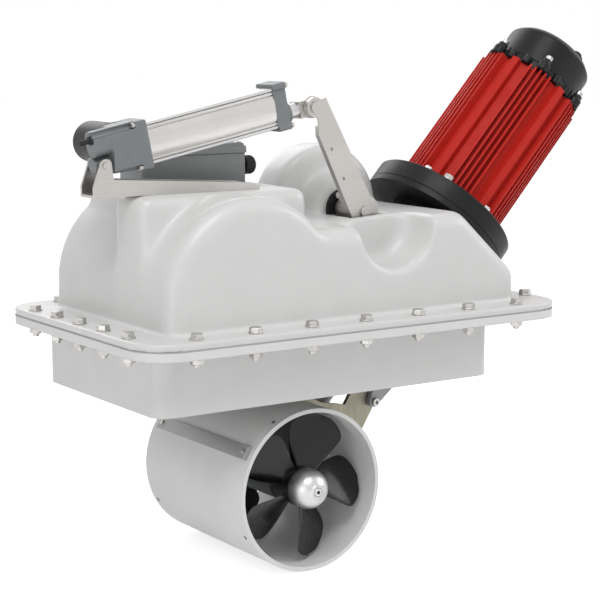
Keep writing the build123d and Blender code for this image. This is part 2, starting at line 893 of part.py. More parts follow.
def make_propeller(side):
    hub = cross_rod(tunnel_x, tunnel_z, hub_radius, *cross_span(side, hub_start, nose_start))
    hub -= cross_rod(tunnel_x, tunnel_z, propeller_shaft_diameter / 2, *cross_span(side, hub_start - 1, nose_start + 1))
    tip = tunnel_bore / 2 - blade_tip_gap
    root = hub_radius - 3
    blades = []
    for index in range(blade_count):
        first = first_blade_angle + index * 360 / blade_count
        sections = []
        for share, chord, sweep, pitch in blade_stations:
            radius = root + share * (tip - root)
            thickness = blade_root_thickness + share * (blade_tip_thickness - blade_root_thickness)
            sections.append(blade_section(side, radius, chord, thickness, first + sweep, pitch))
        blades.append(loft(sections))
    return hub + blades


def make_nose(side):
    centre = nose_tip - hub_radius
    ball = Pos(tunnel_x, side * centre, tunnel_z) * Sphere(hub_radius)
    ball = ball & cross_rod(tunnel_x, tunnel_z, hub_radius, *cross_span(side, centre, nose_tip + 1))
    nose = ball + cross_rod(tunnel_x, tunnel_z, hub_radius, *cross_span(side, nose_start, centre))
    nose -= cross_rod(tunnel_x, tunnel_z, propeller_shaft_diameter / 2, *cross_span(side, nose_start - 1, nose_start + 4))
    return nose - cross_rod(tunnel_x, tunnel_z, nose_screw_radius, *cross_span(side, nose_tip - 8, nose_tip + 1))


def make_nose_screw(side):
    top = nose_tip - 0.6
    screw = cross_rod(tunnel_x, tunnel_z, nose_screw_radius, *cross_span(side, nose_tip - 8, top))
    socket = side_slab(Pos(tunnel_x, tunnel_z) * hex_profile(nose_screw_radius), *cross_span(side, top - 3, top))
    return screw - socket


# Dog clutch between the leg shaft and the motor shaft
def dog_fingers(first):
    face = Sketch()
    for turn in (first, first + 180):
        half = dog_finger_angle / 2
        points = [(0, 0)]
        for step in (-half, 0, half):
            angle = math.radians(turn + step)
            points.append((2 * dog_radius * math.cos(angle), 2 * dog_radius * math.sin(angle)))
        face += outline(*points)
    return face & (Circle(dog_radius) - Circle(dog_radius * 0.35))


def make_driven_dog():
    hub = drive_ring(dog_radius, leg_shaft_diameter / 2, driven_hub_start, driven_hub_end)
    hub -= drive_slab(Circle(leg_shaft_diameter / 2), driven_hub_start, driven_hub_start + 2)
    cap = drive_slab(Circle(leg_shaft_diameter / 2), driven_hub_start + 2, driven_hub_end)
    return hub + cap + drive_slab(dog_fingers(0), driven_hub_end, driven_hub_end + dog_face_gap + dog_overlap)


def make_drive_dog():
    low = drive_hub_start
    hub = drive_slab(Circle(dog_radius), low, low + dog_hub_length)
    return hub + drive_slab(dog_fingers(90), low - dog_face_gap - dog_overlap, low)


# Drive line and motor
def make_bearing_tube():
    tube = drive_ring(bearing_tube_radius, drive_bearing_radius, bearing_tube_front, seat_distance)
    return tube + drive_ring(tube_flange_radius, drive_bearing_radius, seat_distance, seat_distance + tube_flange_thickness)


def make_drive_bearings():
    inner = motor_shaft_diameter / 2 + running_clearance
    spans = ((bearing_tube_front, bearing_tube_front + 14), (seat_distance - 14, seat_distance),
             (motor_start, motor_start + motor_foot_thickness), (motor_end, end_ring_end))
    return Compound(children=[drive_ring(drive_bearing_radius, inner, start, end) for start, end in spans])


def make_motor_neck():
    neck = drive_ring(neck_radius, shaft_way_radius, seat_distance, ring_start)
    return neck - drive_slab(Circle(tube_flange_radius), seat_distance, seat_distance + tube_flange_thickness)


def make_lower_ring():
    return drive_ring(ring_radius, shaft_way_radius, ring_start, upper_ring_start)


def make_upper_ring():
    ring = drive_ring(ring_radius, shaft_way_radius, upper_ring_start, motor_start)
    rim = [e for e in ring.edges() if e.geom_type == GeomType.CIRCLE and e.radius > ring_radius - 1]
    return chamfer(ShapeList(rim), 1.2)


def ring_bolt(angle, across_flats, height):
    spot = Rot(0, 0, angle) * Pos(ring_bolt_circle, 0)
    head = drive_slab(spot * hex_profile(across_flats), motor_start, motor_start + height)
    return head + drive_slab(spot * Circle(across_flats * 0.8), motor_start, motor_start + 1.2)


def make_ring_bolts():
    # Small bolts hold the motor foot beside its wide ribs, three larger ones hold both rings to the neck
    small = [ring_bolt(angle, 9, 6) for angle in ring_bolt_angles]
    large = [ring_bolt(angle, 11, 8) for angle in seat_bolt_angles]
    return Compound(children=small + large)


def motor_face():
    face = Circle(motor_core_radius)
    for index in range(6):
        turn = Rot(0, 0, motor_turn + 60 * index)
        face += turn * Pos(motor_radius / 2, 0) * Rectangle(motor_radius, rib_width)
        group = Rot(0, 0, motor_turn + 60 * index + 30)
        for fin in range(fin_count):
            offset = (fin - (fin_count - 1) / 2) * fin_pitch
            face += group * Pos(motor_radius / 2, offset) * Rectangle(motor_radius, fin_width)
    return face & Circle(motor_radius)


def make_motor_body():
    body = drive_slab(motor_face(), motor_start, motor_end)
    foot = drive_slab(Circle(motor_radius - 2), motor_start, motor_start + motor_foot_thickness)
    body += foot
    body -= drive_slab(Circle(stator_radius), motor_start + motor_foot_thickness, motor_end)
    return body - drive_slab(Circle(shaft_way_radius), motor_start - 1, motor_end)


def make_stator():
    return drive_ring(stator_radius, rotor_radius + 1, motor_start + motor_foot_thickness, motor_end - 20)


def make_rotor():
    start = motor_start + motor_foot_thickness + 8
    return drive_ring(rotor_radius, motor_shaft_diameter / 2, start, motor_end - 28)


def make_motor_shaft():
    return drive_slab(Circle(motor_shaft_diameter / 2), drive_hub_start + dog_hub_length, end_ring_end)


def end_screw_spots():
    return [Rot(0, 0, motor_turn + 60 * index + 30) * Pos(screw_circle, 0) for index in range(6)]


def make_end_ring():
    # End shield with an ear at each screw and a lobe on each side of every wide rib
    face = Circle(end_cap_radius + 2)
    for index in range(6):
        for way in (-1, 1):
            lobe = Rot(0, 0, motor_turn + 60 * index + way * end_lobe_angle) * Pos(end_lobe_circle, 0)
            face += lobe * Circle(end_lobe_radius)
    for spot in end_screw_spots():
        face += spot * Circle(ear_radius)
    ring = drive_slab(face, motor_end, end_ring_end)
    for spot in end_screw_spots():
        ring += drive_slab(spot * Circle(end_boss_radius), end_ring_end, end_ring_end + end_boss_height)
        ring -= drive_slab(spot * Circle(end_screw_diameter / 2), motor_end, end_ring_end + end_boss_height)
    return ring - drive_slab(Circle(drive_bearing_radius), motor_end, end_ring_end)


def make_end_cap():
    cap = drive_slab(Circle(end_cap_radius), end_ring_end, end_ring_end + end_cap_height)
    rim = [e for e in cap.edges() if e.geom_type == GeomType.CIRCLE]
    top = ShapeList(rim).sort_by(Axis.Z)[-1]
    return chamfer(top, end_cap_round)


def make_end_screws():
    screws = []
    top = end_ring_end + end_boss_height
    for spot in end_screw_spots():
        shank = drive_slab(spot * Circle(end_screw_diameter / 2), motor_end, top)
        screws.append(shank + drive_slab(spot * Circle(end_screw_diameter * 0.8), top, top + 5))
    return Compound(children=screws)


def stud_places():
    return [Rot(0, 0, angle) * Pos(stud_circle, 0) for angle in stud_angles]


def make_power_studs():
    top = end_ring_end + end_cap_height
    studs = [drive_slab(spot * Circle(stud_diameter / 2), top, top + stud_length) for spot in stud_places()]
    return Compound(children=studs)


def make_stud_nuts():
    top = end_ring_end + end_cap_height
    face = hex_profile(13) - Circle(stud_diameter / 2)
    nuts = [drive_slab(spot * face, top, top + 5) for spot in stud_places()]
    return Compound(children=nuts)


# Actuator
def tube_face():
    middle = (tube_above - tube_below) / 2
    height = tube_above + tube_below
    face = Pos(0, middle) * RectangleRounded(tube_width - 5, height, 2)
    for side in (-1, 1):
        edge_x = side * (tube_width / 2 - 2.5)
        low = (edge_x, middle - height / 2 + 5)
        high = (edge_x, middle + height / 2 - 5)
        bow = ThreePointArc(low, (side * tube_width / 2, middle), high)
        face += make_face(bow + Line(high, low))
        for up in (-tube_below + 2, tube_above - 2):
            face += Pos(side * (tube_width / 2 - 2.4), up) * Circle(2)
    return face


def actuator_point(along, up):
    # A place beside the rod axis, measured from the rear pivot
    angle = math.radians(actuator_angle)
    x = pivot_x + along * math.cos(angle) - up * math.sin(angle)
    z = pivot_z + along * math.sin(angle) + up * math.cos(angle)
    return x, z


def cap_screw_places():
    across = tube_width / 2 - tube_corner
    return [(side * across, up) for side in (-1, 1) for up in (-tube_below, tube_above)]


def make_actuator_tube():
    face = tube_face() - Circle(nut_radius + running_clearance)
    return actuator_slab(face, tube_start, front_cap_start)


def make_rear_cap():
    low = -tube_below - cap_lip
    high = tube_above + cap_lip
    front = actuator_y - tube_width / 2 - 1
    back = actuator_y + tube_width / 2 + 1
    sides = outline(actuator_point(rear_cap_start, low + rear_cap_rise), actuator_point(tube_start, low),
                    actuator_point(tube_start, high), actuator_point(rear_cap_start + rear_cap_lean, high))
    cap = side_slab(fillet(sides.vertices(), 2), front, back)
    cap += actuator_slab(Circle(lug_radius), -lug_radius, tube_start - 1)
    gearbox = Pos(gearbox_across, gearbox_up) * RectangleRounded(22, 28, 8)
    cap += actuator_slab(gearbox, -9, tube_start - 1)
    for across, up in cap_screw_places():
        cap -= actuator_slab(Pos(across, up) * Circle(screw_notch_radius), -lug_radius, rear_screw_seat)
    flange = cross_rod(*actuator_point(actuator_motor_along, actuator_motor_up), actuator_motor_diameter / 2 + 1,
                       back, back + gear_flange)
    cap += flange
    return cap - cross_rod(pivot_x, pivot_z, rear_pin_diameter / 2 + running_clearance, -100, 50)


def make_front_cap():
    # A narrower plate between two full-width lugs that carry the corner screws
    middle = (tube_above - tube_below) / 2
    height = tube_above + tube_below + 2 * cap_lip
    face = Pos(0, middle) * RectangleRounded(tube_width - 2, height, 2)
    for up in (-tube_below, tube_above):
        face += Pos(0, up) * RectangleRounded(tube_width + 4, 2 * cap_lip, 3)
    face -= Circle(rod_diameter / 2 + running_clearance)
    return actuator_slab(face, front_cap_start, front_cap_end)


def make_cap_screws():
    screws = []
    for across, up in cap_screw_places():
        spot = Pos(across, up)
        screws.append(actuator_slab(spot * Circle(3), front_cap_end, front_cap_end + 3))
        screws.append(actuator_slab(spot * Circle(3), rear_screw_seat - 4, rear_screw_seat))
    return Compound(children=screws)


def make_rod_seal():
    return actuator_slab(Circle(13) - Circle(rod_diameter / 2 + running_clearance), front_cap_end, front_cap_end + 6)


def make_rod_nut():
    return actuator_slab(Circle(nut_radius), nut_start, nut_start + nut_length)


def make_rod():
    return actuator_slab(Circle(rod_diameter / 2), nut_start + nut_length, eye_distance - eye_neck)


def make_rod_eye():
    front = lever_back + seat_gap
    back = 2 * actuator_y - front
    ring = cross_rod(eye_x, eye_z, eye_radius, front, back)
    neck = actuator_slab(Rectangle(back - front, rod_diameter + 2), eye_distance - eye_neck, eye_distance - 6)
    eye = ring + neck
    return eye - cross_rod(eye_x, eye_z, rod_pin_diameter / 2, front - 1, back + 1)


def make_rod_pin():
    front = lever_back + seat_gap
    back = 2 * actuator_y - front
    pin = cross_rod(eye_x, eye_z, rod_pin_diameter / 2, lever_back - slot_depth + seat_gap, back)
    return pin + cross_rod(eye_x, eye_z, rod_pin_diameter / 2 + 2, back, back + 2)


def make_actuator_motor():
    front = actuator_y + tube_width / 2 + 1 + gear_flange
    place = actuator_point(actuator_motor_along, actuator_motor_up)
    motor = cross_rod(*place, actuator_motor_diameter / 2, front, front + actuator_motor_length)
    rim = [e for e in motor.edges() if e.center().Y > front + 1 and e.geom_type == GeomType.CIRCLE]
    return fillet(rim, 5)


def make_actuator_gland():
    ring = actuator_slab(Pos(gland_across, gland_up) * Circle(5), -12, -9)
    return ring + actuator_slab(Pos(gland_across, gland_up) * Circle(3.2), -24, -12)


def make_rear_pin():
    front = channel_front - 2
    back = channel_back + 2
    return cross_rod(pivot_x, pivot_z, rear_pin_diameter / 2, front, back)


# Actuator bracket, an open channel folded from sheet
def channel_side(front):
    floor = block_top
    face = outline((channel_left, floor), (channel_right, floor), (channel_right, floor + 5.3),
                   (channel_right - 16.5, floor + 8.5), (pivot_x + clevis_ear_radius + 2, floor + 19.5),
                   (pivot_x + clevis_ear_radius, pivot_z), (pivot_x - clevis_ear_radius, pivot_z),
                   (channel_left, floor + 12))
    face += Pos(pivot_x, pivot_z) * Circle(clevis_ear_radius)
    face -= Pos(pivot_x, pivot_z) * Circle(rear_pin_diameter / 2)
    return side_slab(face, front, front + channel_sheet)


def make_bracket():
    floor = block(channel_left, channel_right, channel_front + channel_sheet, channel_back - channel_sheet,
                  block_top, block_top + channel_sheet)
    for x in channel_bolt_places():
        middle = (channel_front + channel_back) / 2
        floor -= Pos(x, middle, block_top) * Cylinder(3.2, 20)
    return floor + channel_side(channel_front) + channel_side(channel_back - channel_sheet)


def channel_bolt_places():
    return (body_left + 40, channel_right - 60, channel_right - 16)


def make_bracket_bolts():
    bolts = []
    middle = (channel_front + channel_back) / 2
    top = block_top + channel_sheet
    for x in channel_bolt_places():
        head = extrude(Pos(x, middle, top) * hex_profile(10), amount=4)
        bolts.append(head + extrude(Pos(x, middle, block_top) * Circle(3.2), amount=channel_sheet))
    return Compound(children=bolts)


# Control box
def make_control_box():
    body = block(box_left, box_right, box_front, box_back, platform_top, platform_top + box_height - box_lid_height)
    return fillet(body.edges().filter_by(Axis.Z), 4)


def make_box_lid():
    base = platform_top + box_height - box_lid_height
    lid = block(box_left, box_right, box_front, box_back, base, base + box_lid_height)
    lid = fillet(lid.edges().filter_by(Axis.Z), 4)
    return chamfer(lid.faces().sort_by(Axis.Z)[-1].edges(), 3)


def make_lid_screws():
    top = platform_top + box_height
    screws = []
    for x in (box_left + 8, box_right - 8):
        for y in (box_front + 8, box_back - 8):
            screws.append(extrude(Pos(x, y, top) * Circle(2.6), amount=1.6))
    return Compound(children=screws)


def make_cable_gland():
    # The gland sits near the front corner of the box
    y = box_front + gland_radius + 1.5
    place = Plane(origin=(box_right, y, platform_top + 23), x_dir=(0, 1, 0), z_dir=(1, 0, 0))
    body = extrude(place * Circle(gland_radius), amount=gland_length)
    rim = body.faces().sort_by(Axis.X)[-1].edges()
    return fillet(rim, 4)


def housing_nodes():
    brackets = [make_hinge_bracket(-1), make_hinge_bracket(1)] + make_hinge_pins().solids()
    flange_fasteners = make_flange_bolts().solids() + make_flange_washers().solids() + make_flange_nuts().solids()
    screws = make_seal_bolts().solids() + make_bracket_bolts().solids() + make_lid_screws().solids()
    return {
        "housing": make_housing(),
        "hull_frame": make_hull_frame(),
        "flange_gasket": make_gasket(),
        "flange_fasteners": Compound(children=flange_fasteners),
        "lever_shaft_bushes": make_lever_bushes(),
        "lever_shaft_seal": make_shaft_seal(),
        "housing_screws": Compound(children=screws),
        "hinge_brackets": Compound(children=brackets),
        "actuator_bracket": make_bracket(),
        "rear_pivot_pin": make_rear_pin(),
        "control_box": make_control_box(),
        "control_box_lid": make_box_lid(),
        "cable_gland": make_cable_gland(),
    }


def motor_nodes():
    screws = make_ring_bolts().solids() + make_end_screws().solids()
    studs = make_power_studs().solids() + make_stud_nuts().solids()
    return {
        "drive_bearing_tube": make_bearing_tube(),
        "drive_bearings": make_drive_bearings(),
        "motor_neck": make_motor_neck(),
        "motor_mount_ring": make_lower_ring(),
        "motor_adapter_ring": make_upper_ring(),
        "motor_body": make_motor_body(),
        "motor_stator": make_stator(),
        "motor_end_ring": make_end_ring(),
        "motor_end_cap": make_end_cap(),
        "motor_screws": Compound(children=screws),
        "power_studs": Compound(children=studs),
        "motor_shaft": make_motor_shaft(),
        "motor_rotor": make_rotor(),
        "drive_dog": make_drive_dog(),
    }


def lever_nodes():
    return {
        "lever_plate": make_lever_plate(),
        "lever_caps": make_lever_caps(),
        "lever_shaft": Compound(children=[make_lever_shaft(), make_lever_hub()]),
        "crank_arm": Compound(children=[make_crank(), make_crank_pin()]),
        "link_bar": make_link(),
    }


def actuator_nodes():
    return {
        "actuator_tube": make_actuator_tube(),
        "actuator_rear_cap": make_rear_cap(),
        "actuator_front_cap": make_front_cap(),
        "actuator_screws": make_cap_screws(),
        "actuator_motor": Compound(children=[make_actuator_motor(), make_actuator_gland()]),
        "rod_seal": make_rod_seal(),
        "rod": make_rod() + make_rod_nut(),
        "rod_eye": Compound(children=[make_rod_eye(), make_rod_pin()]),
    }


def leg_nodes():
    arms = [make_swing_arm(-1), make_swing_arm(1), make_knee_pin()]
    bearings = make_leg_bearings().solids() + make_shaft_bearings().solids()
    screws = make_door_screws().solids() + make_strap_screws().solids()
    return {
        "swing_arms": Compound(children=arms),
        "arm_bushes": make_arm_bushes(),
        "door_brackets": Compound(children=[make_door_bracket(-1), make_door_bracket(1)]),
        "leg_screws": Compound(children=screws),
        "tunnel": make_tunnel(),
        "tunnel_saddle": make_saddle(),
        "gear_leg": make_gear_leg(),
        "leg_bearings": Compound(children=bearings),
        "tunnel_strap": Compound(children=[make_strap(), make_strap_ends()]),
        "leg_shaft": make_leg_shaft(),
        "bevel_pinion": make_pinion(),
        "driven_dog": make_driven_dog(),
    }


def propeller_nodes():
    parts = {}
    for name, side in (("front", -1), ("rear", 1)):
        parts[name + "_propeller"] = make_propeller(side)
        parts[name + "_propeller_shaft"] = make_propeller_shaft(side)
        parts[name + "_bevel_gear"] = make_bevel_gear(side)
        parts[name + "_nose"] = Compound(children=[make_nose(side), make_nose_screw(side)])
    return parts


os.makedirs("parts", exist_ok=True)
groups = (housing_nodes(), motor_nodes(), lever_nodes(), actuator_nodes(), leg_nodes(), propeller_nodes())
for group in groups:
    for name, shape in group.items():
        shape.label = name
        export_step(shape, "parts/" + name + ".step")
        print(name, len(shape.solids()), "solids", round(shape.volume))
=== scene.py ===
import math
from itertools import product

import bmesh
import bpy
from mathutils import Matrix, Vector


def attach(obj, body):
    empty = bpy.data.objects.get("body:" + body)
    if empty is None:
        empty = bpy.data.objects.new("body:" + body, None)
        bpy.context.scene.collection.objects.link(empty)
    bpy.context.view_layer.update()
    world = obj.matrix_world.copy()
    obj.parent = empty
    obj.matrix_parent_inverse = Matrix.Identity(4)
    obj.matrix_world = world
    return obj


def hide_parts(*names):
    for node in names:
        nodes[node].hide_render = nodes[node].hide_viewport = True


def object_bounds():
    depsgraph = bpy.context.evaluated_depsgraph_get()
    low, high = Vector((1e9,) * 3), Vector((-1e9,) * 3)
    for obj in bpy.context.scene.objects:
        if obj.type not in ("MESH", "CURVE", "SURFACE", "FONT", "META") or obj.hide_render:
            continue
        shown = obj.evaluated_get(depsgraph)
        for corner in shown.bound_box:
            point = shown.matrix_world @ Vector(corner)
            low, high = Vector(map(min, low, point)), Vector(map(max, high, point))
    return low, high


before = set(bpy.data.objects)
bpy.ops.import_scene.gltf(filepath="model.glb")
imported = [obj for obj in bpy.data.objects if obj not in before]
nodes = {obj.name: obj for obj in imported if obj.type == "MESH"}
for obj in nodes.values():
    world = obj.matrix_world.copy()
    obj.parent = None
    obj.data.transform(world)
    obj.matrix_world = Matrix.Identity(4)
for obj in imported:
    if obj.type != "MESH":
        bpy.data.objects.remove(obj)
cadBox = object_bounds()
print("stage: frame loaded,", len(nodes), "nodes")


# Shader groups, each built once and placed in the materials with its own values
def newGroup(name, inputs, outputs):
    tree = bpy.data.node_groups.new(name, "ShaderNodeTree")
    for label, kind, value in inputs:
        socket = tree.interface.new_socket(label, in_out="INPUT", socket_type=kind)
        if value is not None:
            socket.default_value = value
    for label, kind in outputs:
        tree.interface.new_socket(label, in_out="OUTPUT", socket_type=kind)
    return tree, tree.nodes.new("NodeGroupInput"), tree.nodes.new("NodeGroupOutput")


def mathNode(tree, operation, first, second=None, third=None, clamp=False):
    node = tree.nodes.new("ShaderNodeMath")
    node.operation = operation
    node.use_clamp = clamp
    for slotIndex, value in enumerate((first, second, third)):
        if value is None:
            continue
        if isinstance(value, bpy.types.NodeSocket):
            tree.links.new(value, node.inputs[slotIndex])
        else:
            node.inputs[slotIndex].default_value = value
    return node.outputs[0]


def noiseNode(tree, vector, scale, detail=3.0, roughness=0.55):
    node = tree.nodes.new("ShaderNodeTexNoise")
    tree.links.new(vector, node.inputs["Vector"])
    if isinstance(scale, bpy.types.NodeSocket):
        tree.links.new(scale, node.inputs["Scale"])
    else:
        node.inputs["Scale"].default_value = scale
    node.inputs["Detail"].default_value = detail
    node.inputs["Roughness"].default_value = roughness
    return node.outputs["Fac"]


def buildGrain():
    # Fine orange peel over a slow undulation, as gelcoat and sprayed paint show
    tree, given, result = newGroup(
        "surfaceGrain",
        [("Vector", "NodeSocketVector", None), ("Scale", "NodeSocketFloat", 600.0),
         ("Slow Scale", "NodeSocketFloat", 40.0), ("Slow Share", "NodeSocketFloat", 0.4)],
        [("Height", "NodeSocketFloat"), ("Cloud", "NodeSocketFloat")])
    fine = noiseNode(tree, given.outputs["Vector"], given.outputs["Scale"], 2.0)
    slow = noiseNode(tree, given.outputs["Vector"], given.outputs["Slow Scale"], 4.0)
    slowPart = mathNode(tree, "MULTIPLY", slow, given.outputs["Slow Share"])
    height = mathNode(tree, "ADD", fine, slowPart)
    tree.links.new(height, result.inputs["Height"])
    tree.links.new(slow, result.inputs["Cloud"])
    return tree


def buildBrushing():
    # Long fine lines along one axis, as a belt or a lathe tool leaves them
    tree, given, result = newGroup(
        "brushedLines",
        [("Vector", "NodeSocketVector", None), ("Scale", "NodeSocketFloat", 900.0),
         ("Stretch", "NodeSocketVector", (1.0, 0.03, 1.0))],
        [("Height", "NodeSocketFloat"), ("Lines", "NodeSocketFloat")])
    stretch = tree.nodes.new("ShaderNodeVectorMath")
    stretch.operation = "MULTIPLY"
    tree.links.new(given.outputs["Vector"], stretch.inputs[0])
    tree.links.new(given.outputs["Stretch"], stretch.inputs[1])
    lines = noiseNode(tree, stretch.outputs[0], given.outputs["Scale"], 3.0, 0.7)
    tree.links.new(lines, result.inputs["Height"])
    ramp = tree.nodes.new("ShaderNodeMapRange")
    ramp.inputs["From Min"].default_value = 0.3
    ramp.inputs["From Max"].default_value = 0.7
    tree.links.new(lines, ramp.inputs["Value"])
    tree.links.new(ramp.outputs["Result"], result.inputs["Lines"])
    return tree


def buildEdgeWear():
    # Rounded shading at sharp edges, and a broken mask along them where handling rubs
    tree, given, result = newGroup(
        "edgeWear",
        [("Vector", "NodeSocketVector", None), ("Amount", "NodeSocketFloat", 0.5),
         ("Break Scale", "NodeSocketFloat", 220.0)],
        [("Mask", "NodeSocketFloat")])
    soft = tree.nodes.new("ShaderNodeBevel")
    soft.samples = 4
    soft.inputs["Radius"].default_value = 0.0009
    plain = tree.nodes.new("ShaderNodeNewGeometry")
    dot = tree.nodes.new("ShaderNodeVectorMath")
    dot.operation = "DOT_PRODUCT"
    tree.links.new(soft.outputs["Normal"], dot.inputs[0])
    tree.links.new(plain.outputs["Normal"], dot.inputs[1])
    turned = mathNode(tree, "SUBTRACT", 1.0, dot.outputs["Value"])
    strong = mathNode(tree, "MULTIPLY", turned, 6.0, clamp=True)
    broken = noiseNode(tree, given.outputs["Vector"], given.outputs["Break Scale"], 4.0)
    patches = mathNode(tree, "MULTIPLY_ADD", broken, 3.0, -1.1, clamp=True)
    worn = mathNode(tree, "MULTIPLY", strong, patches)
    mask = mathNode(tree, "MULTIPLY", worn, given.outputs["Amount"])
    tree.links.new(mask, result.inputs["Mask"])
    return tree


def buildSmudges():
    # Handling marks and dried water, which change only the gloss
    tree, given, result = newGroup(
        "handlingMarks",
        [("Vector", "NodeSocketVector", None), ("Scale", "NodeSocketFloat", 18.0)],
        [("Mask", "NodeSocketFloat")])
    large = noiseNode(tree, given.outputs["Vector"], given.outputs["Scale"], 6.0, 0.62)
    ramp = tree.nodes.new("ShaderNodeMapRange")
    ramp.interpolation_type = "SMOOTHSTEP"
    ramp.inputs["From Min"].default_value = 0.42
    ramp.inputs["From Max"].default_value = 0.66
    tree.links.new(large, ramp.inputs["Value"])
    tree.links.new(ramp.outputs["Result"], result.inputs["Mask"])
    return tree


grainGroup = buildGrain()
brushGroup = buildBrushing()
edgeGroup = buildEdgeWear()
smudgeGroup = buildSmudges()


